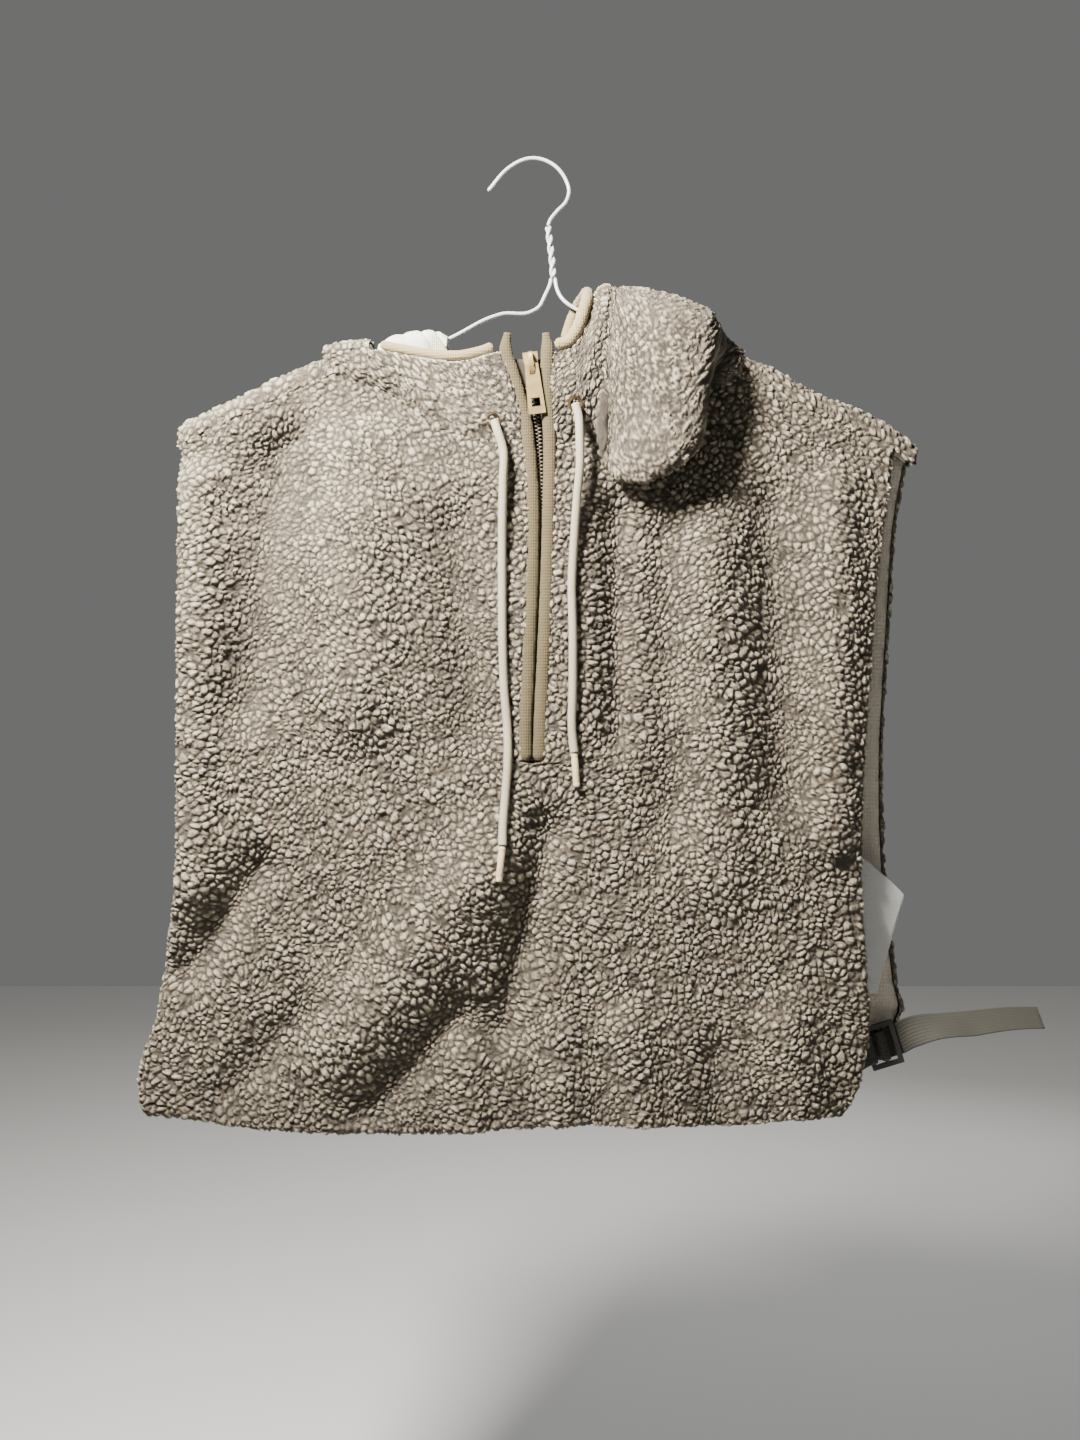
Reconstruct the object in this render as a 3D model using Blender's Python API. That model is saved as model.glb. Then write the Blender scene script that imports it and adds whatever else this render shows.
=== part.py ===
"""A hooded half-zip fleece vest on a wire hanger.

Sizes in the tables are millimetres, and the meshes are metres. X runs to the right of someone who
faces the front of the vest, Y runs from the front to the back, and Z is up. The origin is where the
inside of the hanger's hook rests. Each cloth piece is a wall around a middle surface, which is worked
out on a grid of rows and columns.
"""
from collections import namedtuple

import bpy
import numpy as np

MM = 0.001

FLEECE = 6.0                 # thickness of the pile and its backing
HOOD_FLEECE = 5.0
LINING = 2.0
FACING = 1.2
RIM = 1.0                    # how far a cloth edge rounds out past its middle surface
GAP = 0.3
SEAM = 2 * RIM + GAP         # between the middle surfaces of two pieces sewn together
NECK_EASE = 0.7              # more room where the hood's wall leans against the panel's edge
EDGE_INSET = 3.0             # the pile hides this much of a panel's outline

PANEL_MIDDLE_X = 5.0
SHOULDER_Y = -33.0           # the fold over the shoulders
SHOULDER_RADIUS = 9.0
FRONT_RISE = 15.0            # how far the front stands out below the shoulders
FRONT_RISE_DROP = 130.0
SHOULDER_SLOPE = 0.52
NECK_APEX_Z = -92.0          # where the two shoulder slopes would meet
SIDE_TURN = 7.0              # how far the side edges turn back
BACK_Y = -24.0
BACK_TUCK = 4.0

ZIP_END_Z = -409.0
ZIP_Y = -58.5
BINDING_WIDTH = 8.0
BINDING_DEPTH = 6.0
TAPE_THICKNESS = 1.0

WIRE = 2.4
NECK_TWIST = 4.6
CORD = 5.5
AGLET = 4.4
EYELET = 9.6
EYELET_HOLE = 6.2
EYELET_HEIGHT = 1.2
EYELET_SIDES = 20
BUCKLE_THICKNESS = 2.6
LABEL = 1.0
WEBBING_WIDTH = 20.0
WEBBING_THICKNESS = 1.4

Edge = namedtuple("Edge", "z left right")
Line = namedtuple("Line", "x z")
Fold = namedtuple("Fold", "x0 z0 x1 z1 half_width out")
Station = namedtuple("Station", "name x_low z_low x_high z_high y_front y_top")
Zip = namedtuple("Zip", "z left right")

FRONT_EDGES = [
    Edge(-640, -247.0, 199.0),
    Edge(-625, -251.5, 209.0),
    Edge(-600, -249.5, 216.0),
    Edge(-574, -240.6, 219.0),
    Edge(-545, -236.0, 217.5),
    Edge(-520, -233.0, 216.0),
    Edge(-490, -227.3, 214.0),
    Edge(-434, -226.0, 214.6),
    Edge(-365, -225.0, 218.5),
    Edge(-295, -226.0, 224.4),
    Edge(-232, -226.5, 234.0),
    Edge(-190, -227.0, 238.5),
]

BACK_EDGES = [
    Edge(-634, -226.0, 206.0),
    Edge(-600, -232.0, 226.0),
    Edge(-576, -230.0, 247.0),
    Edge(-554, -228.0, 244.0),
    Edge(-469, -222.0, 236.0),
    Edge(-398, -221.0, 235.3),
    Edge(-345, -221.0, 238.0),
    Edge(-303, -222.0, 240.6),
    Edge(-250, -224.0, 244.0),
    Edge(-199, -227.0, 252.0),
]

# The outline of the shoulders, along the top of the fold.
SHOULDER_LINE = [
    Line(-228, -187),
    Line(-189, -168),
    Line(-150, -150),
    Line(-128, -141),
    Line(137, -141),
    Line(148, -145),
    Line(186, -166),
    Line(211, -176),
    Line(236, -188),
    Line(253, -201),
]

FRONT_NECK = [
    Line(-129, -158),
    Line(-112, -163),
    Line(-89, -173),
    Line(-63, -193),
    Line(-38, -202),
    Line(-11, -205),
    Line(20, -205),
    Line(45, -205),
    Line(84, -192),
    Line(115, -169),
    Line(138, -158),
]

BACK_NECK = [
    Line(-129, -151),
    Line(-90, -163),
    Line(-40, -172),
    Line(5, -174),
    Line(50, -172),
    Line(100, -163),
    Line(138, -151),
]

HEM = [
    Line(-248, -636),
    Line(-209, -637),
    Line(-173, -642),
    Line(-122, -646),
    Line(-19, -643),
    Line(47, -640),
    Line(178, -640),
    Line(200, -637),
]

BACK_HEM_Z = -634.0

ZIP = [
    Zip(-409, -2.8, 6.4),
    Zip(-390, -2.4, 6.6),
    Zip(-340, -0.2, 8.9),
    Zip(-279, 2.2, 11.4),
    Zip(-240, 2.3, 12.4),
    Zip(-205, -0.2, 12.8),
    Zip(-192, -1.8, 12.4),
    Zip(-175, -5.9, 11.3),
    Zip(-159, -10.4, 10.8),
    Zip(-143, -14.9, 11.3),
    Zip(-133, -13.8, 10.2),
]

# Soft troughs (out below zero) and ridges (out above zero) of the front, each along a line.
FRONT_FOLDS = [
    Fold(-130, -172, -163, -330, 15, -7.5),    # trough from the left shoulder
    Fold(-97, -190, -86, -345, 24, 7.4),       # chest ridge beside it
    Fold(-212, -225, -214, -500, 16, 5.4),     # left side ridge
    Fold(-62, -315, -34, -395, 15, -7.4),      # dent over the waist
    Fold(-14, -470, -112, -612, 26, 10.1),      # long ridge to the lower left
    Fold(-60, -560, -100, -640, 15, -5.4),     # hollow under that ridge
    Fold(-170, -470, -228, -560, 13, -7.4),    # crease above the flared corner
    Fold(16, -445, 14, -600, 12, -8.1),        # trough below the zip
    Fold(53, -236, 54, -400, 11, -7.4),        # trough below the hood's valley
    Fold(92, -240, 108, -460, 14, -6.1),       # right chest trough
    Fold(112, -236, 150, -500, 17, 6.8),       # right chest ridge
    Fold(168, -210, 174, -400, 15, -5.4),      # trough by the right armhole
    Fold(206, -215, 196, -470, 13, 5.4),       # right side ridge
    Fold(-45, -575, -38, -650, 12, 6.1),       # waves at the hem
    Fold(18, -560, 20, -650, 12, 5.4),
    Fold(62, -560, 72, -650, 13, 6.1),
    Fold(162, -560, 176, -650, 18, 6.8),
    Fold(118, -585, 120, -650, 13, -4.7),
]

BACK_FOLDS = [
    Fold(-140, -350, -170, -560, 22, 5.4),
    Fold(-60, -380, -85, -640, 24, -5.4),
    Fold(20, -380, 40, -640, 26, 5.4),
    Fold(110, -200, 150, -430, 20, -5.4),
    Fold(165, -420, 130, -640, 20, 5.4),
]

# Upright stations of the hood's right side, from the zip round the roll to the shoulder.
HOOD_STATIONS = [
    Station("zip", 18.5, -203, 17.0, -149, -59, -58),
    Station("under_binding", 28.0, -203, 31.0, -145, -62, -58),
    Station("loop", 37.0, -205, 46.0, -106, -63, -48),
    Station("valley", 47.0, -212, 54.0, -104, -63, -46),
    Station("slope", 60.0, -227, 68.0, -104, -71, -47),
    Station("crest", 82.0, -226, 90.0, -109, -81, -50),
    Station("fold", 101.0, -212, 112.0, -117, -81, -50),
    Station("turn", 105.0, -203, 117.5, -121, -74, -46),
    Station("under", 98.0, -192, 120.5, -125, -66, -42),
    Station("return", 104.0, -184, 123.5, -129, -58, -39),
    Station("second", 118.0, -167, 130.0, -135, -52, -36),
    Station("shoulder", 134.0, -152, 139.0, -141, -46, -34),
]

# The top of the hood's left stretch, where its binding is sewn on.
HOOD_LEFT_TOP = [
    Line(-131, -143),
    Line(-115, -141),
    Line(-98, -141.6),
    Line(-68, -148),
    Line(-50, -150.6),
    Line(-35, -149.3),
    Line(-25, -146.8),
    Line(-17, -145),
]

# The face edge of the hood where it hangs behind, from left to right.
HOOD_BACK_TOP = [
    Line(-128, -147),
    Line(-112, -146),
    Line(-98, -150),
    Line(-88, -157),
    Line(-60, -166),
    Line(0, -168),
    Line(28, -160),
    Line(42, -142),
    Line(50, -134),
]

# The top of the lining where it is wrapped over the hanger's left arm.
LINING_TOP = [
    Line(-99.5, -133),
    Line(-90, -128.5),
    Line(-76, -124.6),
    Line(-67, -123.7),
    Line(-59, -123.2),
    Line(-54, -124.0),
]

# Routes are rows of x, y, z.
HOOK_ROUTE = [
    (-28.6, 0.0, -21.1),
    (-14.3, 0.0, -5.2),
    (-5.5, 0.0, -0.2),
    (0.0, 0.0, 1.2),
    (7.5, 0.0, 0.6),
    (17.7, -0.5, -4.8),
    (24.5, -1.2, -14.3),
    (26.5, -2.0, -21.8),
    (24.5, -2.8, -29.3),
    (18.4, -3.6, -36.1),
    (13.7, -4.4, -42.4),
    (12.2, -5.1, -46.6),
]

NECK_ROUTE = [
    (12.3, -5.3, -47.2),
    (13.6, -7.6, -59.7),
    (14.9, -10.0, -71.2),
    (15.6, -12.2, -83.3),
]

ARM_LEFT_ROUTE = [
    (14.2, -12.3, -84.0),
    (13.9, -12.9, -86.6),
    (10.2, -15.0, -96.4),
    (5.5, -16.5, -105.1),
    (0.0, -17.0, -108.3),
    (-18.6, -18.5, -109.8),
    (-27.0, -19.5, -112.8),
    (-50.6, -21.0, -125.5),
    (-100.0, -27.0, -146.5),
]

ARM_RIGHT_ROUTE = [
    (17.0, -12.3, -84.0),
    (17.2, -12.9, -86.6),
    (18.2, -14.2, -92.0),
    (22.2, -16.5, -99.7),
    (28.2, -18.0, -104.9),
    (34.0, -18.7, -108.2),
    (45.0, -20.0, -113.2),
    (100.0, -27.0, -138.0),
]

ARM_LEFT_END = [
    (-184.5, -33.0, -179.0),
    (-189.0, -33.1, -184.0),
    (-189.3, -33.2, -186.9),
]

ARM_RIGHT_END = [
    (205.0, -33.0, -185.5),
    (210.7, -33.1, -191.4),
    (211.0, -33.2, -194.4),
]

# Where the arms rest under the shoulders.
LEFT_SEATS = (-155.0, -172.0)
RIGHT_SEATS = (165.0, 190.0)

BAR_ROUTE = [
    (-189.3, -33.2, -187.6),
    (-189.0, -33.1, -190.2),
    (-186.3, -33.0, -192.0),
    (-179.0, -32.6, -192.6),
    (-150.0, -30.0, -194.0),
    (10.0, -29.6, -197.0),
    (172.0, -30.0, -200.5),
    (202.0, -32.8, -201.4),
    (208.0, -33.0, -200.6),
    (210.7, -33.1, -197.8),
    (211.0, -33.2, -195.1),
]

HOOD_LOOP_ROUTE = [
    (16.6, -58.5, -140.8),
    (25.0, -59.5, -138.5),
    (31.0, -60.0, -130.0),
    (34.6, -58.0, -119.0),
    (37.0, -52.0, -110.0),
    (37.6, -43.0, -103.6),
    (37.2, -33.0, -100.6),
    (36.0, -22.0, -99.8),
    (32.8, -12.5, -102.2),
    (28.0, -8.5, -112.5),
    (24.0, -7.5, -125.0),
]

# Points of a cord: x, z and how far its back stands in front of the front panel's face.
CORD_LEFT_ROUTE = [
    (-20.6, -196.0, 6.4),
    (-16.6, -209.0, 5.4),
    (-16.7, -229.4, 3.8),
    (-17.3, -263.0, 1.8),
    (-17.3, -297.3, 1.2),
    (-17.0, -334.7, 1.2),
    (-16.0, -362.0, 1.2),
    (-14.1, -385.0, 1.2),
    (-13.7, -406.0, 1.2),
    (-15.4, -431.2, 1.2),
    (-16.7, -447.0, 1.2),
    (-16.9, -460.5, 1.2),
]

CORD_RIGHT_ROUTE = [
    (31.2, -188.0, 11.8),
    (32.0, -202.0, 11.0),
    (32.2, -217.9, 8.8),
    (30.3, -240.8, 4.6),
    (28.4, -268.7, 2.2),
    (27.1, -297.3, 1.2),
    (27.7, -320.7, 1.2),
    (27.7, -362.0, 1.2),
    (27.3, -388.0, 1.2),
    (28.7, -401.7, 1.2),
]

AGLET_LEFT_ROUTE = [(-16.9, -461.0, 1.7), (-19.2, -483.2, 1.8)]
AGLET_RIGHT_ROUTE = [(28.7, -402.0, 1.7), (30.3, -423.6, 1.7)]
EYELET_LEFT = (-22.4, -189.0)   # x and z
EYELET_RIGHT = (29.1, -179.4)

# A buckle's place: x and z of its middle, which way its tail goes, the strap's slope in degrees, and
# how far forward the inside of the front panel is where the loop is sewn to it.
Fastening = namedtuple("Fastening", "x z side slope front_y")
FASTENING_LEFT = Fastening(-206.0, -600.0, -1, 6.0, -52.2)
FASTENING_RIGHT = Fastening(233.9, -594.1, 1, 17.0, -47.0)
BUCKLE_Y = -34.0
BUCKLE_BARS = (-12.5, -9.8, -3.2, -0.8, 5.3, 8.5)      # sides of its three bars, along the strap
BUCKLE_HEIGHTS = (14.5, 11.5, 3.8, -3.8, -11.5, -14.5)

# Routes of the webbing at a buckle, as rows of u (along the strap) and y.
LOOP_ROUTE = [
    (-30.0, -46.8),
    (-24.0, -44.0),
    (-17.0, -38.4),
    (-13.0, -36.5),
    (-10.6, -36.4),
    (-9.0, -36.2),
    (-8.4, -34.0),
    (-9.0, -31.8),
    (-10.6, -31.6),
    (-13.6, -32.0),
    (-19.0, -35.6),
    (-25.0, -41.0),
    (-30.0, -44.4),
]

STRAP_ROUTE = [
    (3.0, -24.1),
    (-3.0, -24.2),
    (-6.8, -25.6),
    (-7.6, -28.2),
    (-6.2, -30.6),
    (-4.9, -32.2),
    (-4.5, -34.0),
    (-4.2, -35.8),
    (-3.0, -36.4),
    (-1.0, -36.4),
    (0.2, -35.8),
    (0.5, -34.0),
    (0.9, -32.2),
    (2.4, -31.6),
    (6.0, -31.6),
    (10.0, -31.6),
]

# The free end of the right strap: x, y, z and how far it is twisted, in degrees.
Tail = namedtuple("Tail", "x y z twist")
RIGHT_TAIL = [
    Tail(249.0, -31.6, -587.8, 10.0),
    Tail(258.0, -32.0, -584.6, 30.0),
    Tail(268.0, -32.6, -582.6, 44.0),
    Tail(279.0, -33.0, -581.4, 47.0),
    Tail(290.0, -33.2, -580.6, 46.0),
    Tail(301.0, -33.4, -579.0, 50.0),
    Tail(312.0, -33.6, -577.6, 52.0),
    Tail(324.0, -33.8, -576.8, 54.0),
    Tail(336.0, -34.0, -576.6, 55.0),
]

# The free end of the left strap, tucked back inside the front: rows of u and y.
LEFT_TAIL = [
    (18.0, -31.8),
    (27.0, -33.0),
    (31.0, -35.6),
    (30.5, -39.0),
    (26.0, -41.0),
    (14.0, -42.4),
    (2.0, -43.0),
    (-10.0, -43.4),
]


def smoothstep(low, high, value):
    """0 below low, 1 above high, and a smooth climb between."""
    t = np.clip((value - low) / (high - low), 0.0, 1.0)
    return t * t * (3.0 - 2.0 * t)


def through(xs, ys, x):
    """A smooth curve through the points (xs, ys), whose slope at each is that of its neighbours."""
    xs = np.asarray(xs, float)
    ys = np.asarray(ys, float)
    x = np.clip(np.asarray(x, float), xs[0], xs[-1])
    slopes = np.gradient(ys, xs)
    i = np.clip(np.searchsorted(xs, x, side="right") - 1, 0, len(xs) - 2)
    step = xs[i + 1] - xs[i]
    t = (x - xs[i]) / step
    rise = ys[i + 1] - ys[i]
    bend = (1 - t) * (slopes[i] * step - rise) - t * (slopes[i + 1] * step - rise)
    return ys[i] + rise * t + t * (1 - t) * bend


def column(table, name, by, at):
    """The named column of a table, read as a smooth curve over the column called by."""
    return through([getattr(row, by) for row in table], [getattr(row, name) for row in table], at)


def route(points, count):
    """A smooth path through hand-chosen points, as count points evenly spaced along it."""
    points = np.asarray(points, float)
    run = np.concatenate([[0.0], np.cumsum(np.linalg.norm(np.diff(points, axis=0), axis=1))])
    fine = np.linspace(0.0, run[-1], 12 * len(points))
    curve = np.stack([through(run, points[:, k], fine) for k in range(3)], axis=1)
    length = np.concatenate([[0.0], np.cumsum(np.linalg.norm(np.diff(curve, axis=0), axis=1))])
    even = np.linspace(0.0, length[-1], count)
    return np.stack([np.interp(even, length, curve[:, k]) for k in range(3)], axis=1)


def bent(points, longest):
    """A smooth path that keeps every hand-chosen point, with no step longer than longest."""
    points = np.asarray(points, float)
    legs = np.linalg.norm(np.diff(points, axis=0), axis=1)
    run = np.concatenate([[0.0], np.cumsum(legs)])
    steps = np.ceil(legs / longest).astype(int)
    at = np.concatenate([[0.0]] + [np.linspace(run[i], run[i + 1], n + 1)[1:] for i, n in enumerate(steps)])
    return np.stack([through(run, points[:, k], at) for k in range(3)], axis=1)


def folds(x, z, table):
    """How far the cloth stands out at (x, z): each fold is a bell across its line, faded at its ends."""
    total = np.zeros(np.broadcast(x, z).shape)
    for fold in table:
        run = np.array([fold.x1 - fold.x0, fold.z1 - fold.z0])
        length = np.hypot(*run)
        along = ((x - fold.x0) * run[0] + (z - fold.z0) * run[1]) / length
        across = ((x - fold.x0) * run[1] - (z - fold.z0) * run[0]) / length
        fade = smoothstep(-fold.half_width, fold.half_width, along)
        fade = fade * smoothstep(-fold.half_width, fold.half_width, length - along)
        total = total + fold.out * fade * np.exp(-(across / fold.half_width) ** 2)
    return total


def shoulder_z(x):
    """The centre of the fold over the shoulders, inside its outline."""
    return column(SHOULDER_LINE, "z", "x", x) - SHOULDER_RADIUS - FLEECE / 2 - 1.0


def front_depth(x, z):
    """How far in front of y = 0 the middle of the front cloth lies, without its folds."""
    slope_z = NECK_APEX_Z - SHOULDER_SLOPE * np.abs(x - PANEL_MIDDLE_X)
    rise = FRONT_RISE * smoothstep(0.0, FRONT_RISE_DROP, slope_z - z)
    below_shoulder = smoothstep(15.0, 90.0, slope_z - z)
    half = 0.5 * (column(FRONT_EDGES, "right", "z", z) - column(FRONT_EDGES, "left", "z", z))
    centre = 0.5 * (column(FRONT_EDGES, "right", "z", z) + column(FRONT_EDGES, "left", "z", z))
    turn = SIDE_TURN * below_shoulder * np.abs((x - centre) / half) ** 6
    return SHOULDER_RADIUS - SHOULDER_Y + rise - turn


def front_top(x):
    """The upper edge of the front panel: the shoulder seams and the front of the neck seam."""
    neck = column(FRONT_NECK, "z", "x", x)
    in_neck = (x > FRONT_NECK[0].x) & (x < FRONT_NECK[-1].x)
    return np.where(in_neck, neck, shoulder_z(x) - 3.0) - SEAM / 2


def front_surface(x, z):
    """The middle surface of the front panel, folds and all."""
    below_seam = smoothstep(2.0, 34.0, front_top(x) - z)
    y = -front_depth(x, z) - folds(x, z, FRONT_FOLDS) * below_seam
    return np.stack([x, y, z], axis=-1)


def back_surface(x, z):
    """The middle surface of the back panel below the shoulder fold."""
    down = smoothstep(0.0, 90.0, shoulder_z(x) - z)
    y = BACK_Y + BACK_TUCK * down + folds(x, z, BACK_FOLDS) * down
    return np.stack([x, y, z], axis=-1)


def grid_normals(mid):
    """Unit normals of a grid surface, from its slopes along the rows and the columns."""
    down = np.gradient(mid, axis=0)
    across = np.gradient(mid, axis=1)
    normal = np.cross(down, across)
    return normal / np.maximum(np.linalg.norm(normal, axis=-1, keepdims=True), 1e-9)


def boundary_edges(quads, count):
    """The directed edges that only one quad has."""
    edges = np.concatenate([quads[:, [k, (k + 1) % 4]] for k in range(4)])
    forward = edges[:, 0] * count + edges[:, 1]
    backward = edges[:, 1] * count + edges[:, 0]
    return edges[~np.isin(forward, backward)]


def wall(mid, thickness, keep=None, rim=RIM):
    """A closed wall around a grid surface: both faces, and a rounded rim round every open edge.

    keep says which cells of the grid are cloth, so a slit or a neckline is cells left out.
    """
    rows, cols = mid.shape[:2]
    if keep is None:
        keep = np.ones((rows - 1, cols - 1), bool)
    count = rows * cols
    index = np.arange(count).reshape(rows, cols)
    corners = [index[:-1, :-1], index[1:, :-1], index[1:, 1:], index[:-1, 1:]]
    quads = np.stack(corners, axis=-1)[keep]
    points = mid.reshape(-1, 3)
    normals = grid_normals(mid).reshape(-1, 3)
    edges = boundary_edges(quads, count)
    run = points[edges[:, 1]] - points[edges[:, 0]]
    run = run / np.linalg.norm(run, axis=1, keepdims=True)
    outward = np.zeros_like(points)
    side = np.cross(run, normals[edges[:, 0]] + normals[edges[:, 1]])
    np.add.at(outward, edges[:, 0], side)
    np.add.at(outward, edges[:, 1], side)
    outward = outward / np.maximum(np.linalg.norm(outward, axis=1, keepdims=True), 1e-9)
    outer = points + normals * thickness / 2
    inner = points - normals * thickness / 2
    start, end = edges.T
    faces = [quads, quads[:, ::-1] + 2 * count]
    if rim > 0:
        faces.append(np.stack([end, start, start + count, end + count], axis=1))
        faces.append(np.stack([end, start, start + count, end + count], axis=1) + count)
    else:
        faces.append(np.stack([end, start, start + 2 * count, end + 2 * count], axis=1))
    return np.concatenate([outer, points + outward * rim, inner]), np.concatenate(faces)


def swept(path, profile, wide, caps=True):
    """A closed solid: a profile of (wide, deep) points carried along a path.

    wide holds, for each point of the path, the direction that the profile's first number goes in.
    profile may be one outline, or one for each point of the path.
    """
    path = np.asarray(path, float)
    run = np.gradient(path, axis=0)
    run = run / np.linalg.norm(run, axis=1, keepdims=True)
    wide = np.broadcast_to(np.asarray(wide, float), path.shape)
    wide = wide - run * np.sum(wide * run, axis=1, keepdims=True)
    wide = wide / np.linalg.norm(wide, axis=1, keepdims=True)
    deep = np.cross(run, wide)
    profile = np.broadcast_to(np.asarray(profile, float), (len(path),) + np.shape(profile)[-2:])
    rings = path[:, None] + wide[:, None] * profile[..., :1] + deep[:, None] * profile[..., 1:]
    sides = profile.shape[1]
    index = np.arange(len(path) * sides).reshape(len(path), sides)
    turned = np.roll(index, -1, axis=1)
    quads = np.stack([index[:-1], turned[:-1], turned[1:], index[1:]], axis=-1).reshape(-1, 4)
    faces = [list(map(int, quad)) for quad in quads]
    if caps:
        faces.append([int(i) for i in index[0][::-1]])
        faces.append([int(i) for i in index[-1]])
    return rings.reshape(-1, 3), faces


def ellipse(wide, deep, sides):
    """The outline of an ellipse of the given full width and depth."""
    angle = np.linspace(0.0, 2 * np.pi, sides, endpoint=False)
    return np.stack([wide / 2 * np.cos(angle), deep / 2 * np.sin(angle)], axis=1)


def oblong(wide, deep):
    """The outline of a rectangle of the given full width and depth."""
    return np.array([[1, 1], [-1, 1], [-1, -1], [1, -1]]) * np.array([wide, deep]) / 2


def material(name, colour, roughness, metallic=0.0):
    found = bpy.data.materials.new(name)
    found.use_nodes = True
    shader = found.node_tree.nodes["Principled BSDF"]
    shader.inputs["Base Color"].default_value = (*colour, 1.0)
    shader.inputs["Roughness"].default_value = roughness
    shader.inputs["Metallic"].default_value = metallic
    return found


def signed_volume(points, faces):
    """Volume of a closed mesh, below zero where its faces point in."""
    total = 0.0
    for face in faces:
        fan = points[list(face)]
        total += np.sum(np.cross(fan[1:-1], fan[2:]) @ fan[0]) / 6.0
    return total


def piece(name, solid, look, smooth=True):
    """Puts a closed solid, in millimetres, into the scene as a named object."""
    points, faces = solid
    points = np.asarray(points, float)
    faces = [tuple(int(i) for i in face) for face in faces]
    if signed_volume(points, faces) < 0:
        faces = [face[::-1] for face in faces]
    used = np.unique(np.concatenate([np.array(face) for face in faces]))
    renumber = np.full(len(points), -1)
    renumber[used] = np.arange(len(used))
    faces = [tuple(int(renumber[i]) for i in face) for face in faces]
    mesh = bpy.data.meshes.new(name)
    mesh.from_pydata((points[used] * MM).tolist(), [], faces)
    mesh.materials.append(look)
    if smooth:
        mesh.shade_smooth()
    made = bpy.data.objects.new(name, mesh)
    bpy.context.scene.collection.objects.link(made)
    return made


def tube(name, points, diameter, look, resolution=2):
    """A cord or wire: a curve of straight steps with a round bevel and filled ends."""
    data = bpy.data.curves.new(name, "CURVE")
    data.dimensions = "3D"
    data.bevel_depth = diameter / 2 * MM
    data.bevel_resolution = resolution
    data.use_fill_caps = True
    line = data.splines.new("POLY")
    line.points.add(len(points) - 1)
    for point, place in zip(line.points, points):
        point.co = (*(place * MM), 1.0)
    data.materials.append(look)
    made = bpy.data.objects.new(name, data)
    bpy.context.scene.collection.objects.link(made)
    return made


def clear_scene():
    for old in list(bpy.data.objects):
        bpy.data.objects.remove(old, do_unlink=True)


# Cloth panels

FRONT_COLUMNS = 12           # on each side of the zip
FRONT_TOP_LEFT = (-224.0, -8.0)    # x where the columns start on each side of the zip
FRONT_TOP_RIGHT = (18.0, 235.0)
BACK_TOP = (-226.0, 249.0)
ROWS_TO_ZIP_END = 12
ROWS_BELOW_ZIP = 12
BACK_COLUMNS = 24
BACK_ROWS = 17
WRAP_ANGLES = (0.0, 40.0, 90.0, 140.0, 180.0)
FACING_ROWS = slice(3, 22)
FACING_SHARES = (-0.08, 0.3, 0.62)  # of the panel's edge column, so the tape is about 14 wide

# The care label's four corners, from the panel's edge outwards: x and z.
LABEL_TOP = (202.0, -462.0)
LABEL_TOP_OUT = (247.0, -496.5)
LABEL_FOOT = (198.0, -556.0)
LABEL_FOOT_OUT = (228.5, -560.5)
LABEL_Y = -45.2
LABEL_CURL = 12.5            # how far its free edge goes to the back
LABEL_BOW = 1.6


def lips(z):
    """X of the two cloth edges of the zip's slit, just outside the bindings."""
    reach = BINDING_WIDTH / 2 + GAP + RIM
    return column(ZIP, "left", "z", z) - reach, column(ZIP, "right", "z", z) + reach


def front_grid():
    """The front panel's middle points, and which cells are cloth: one column is open above the zip's end."""
    share = np.linspace(0.0, 1.0, FRONT_COLUMNS)
    starts = [np.linspace(*span, FRONT_COLUMNS) for span in (FRONT_TOP_LEFT, FRONT_TOP_RIGHT)]
    first_x = np.concatenate(starts)
    top = front_top(first_x)
    bottom = column(HEM, "z", "x", first_x) + EDGE_INSET
    end = (top[FRONT_COLUMNS] - ZIP_END_Z) / (top[FRONT_COLUMNS] - bottom[FRONT_COLUMNS])
    down = np.concatenate([
        np.linspace(0.0, end, ROWS_TO_ZIP_END + 1),
        np.linspace(end, 1.0, ROWS_BELOW_ZIP + 1)[1:],
    ])
    z = top + (bottom - top) * down[:, None]
    left = column(FRONT_EDGES, "left", "z", z[:, :1]) + EDGE_INSET
    right = column(FRONT_EDGES, "right", "z", z[:, -1:]) - EDGE_INSET
    left_lip, right_lip = lips(z[:, FRONT_COLUMNS:FRONT_COLUMNS + 1])
    x = np.concatenate([left + (left_lip - left) * share, right_lip + (right - right_lip) * share], axis=1)
    keep = np.ones((z.shape[0] - 1, z.shape[1] - 1), bool)
    keep[:ROWS_TO_ZIP_END, FRONT_COLUMNS - 1] = False
    return front_surface(x, z), keep


def front_panel(look):
    """The front, from side edge to side edge and from the shoulder and neck seams to the hem."""
    mid, keep = front_grid()
    return piece("front_panel", wall(mid, FLEECE, keep), look)


def neck_seam(x):
    """Y and Z of the hood's lower edge at x, just above the front panel's own straight steps."""
    top = front_grid()[0][0]
    slope = np.interp(x, top[:, 0], np.gradient(top[:, 2], top[:, 0]))
    seam_z = np.interp(x, top[:, 0], top[:, 2]) + (SEAM + NECK_EASE) * np.hypot(1.0, slope)
    return np.interp(x, top[:, 0], top[:, 1]), seam_z


def back_columns():
    """X of the back panel's columns, where they start at the shoulder seam."""
    return np.linspace(*BACK_TOP, BACK_COLUMNS)


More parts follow.
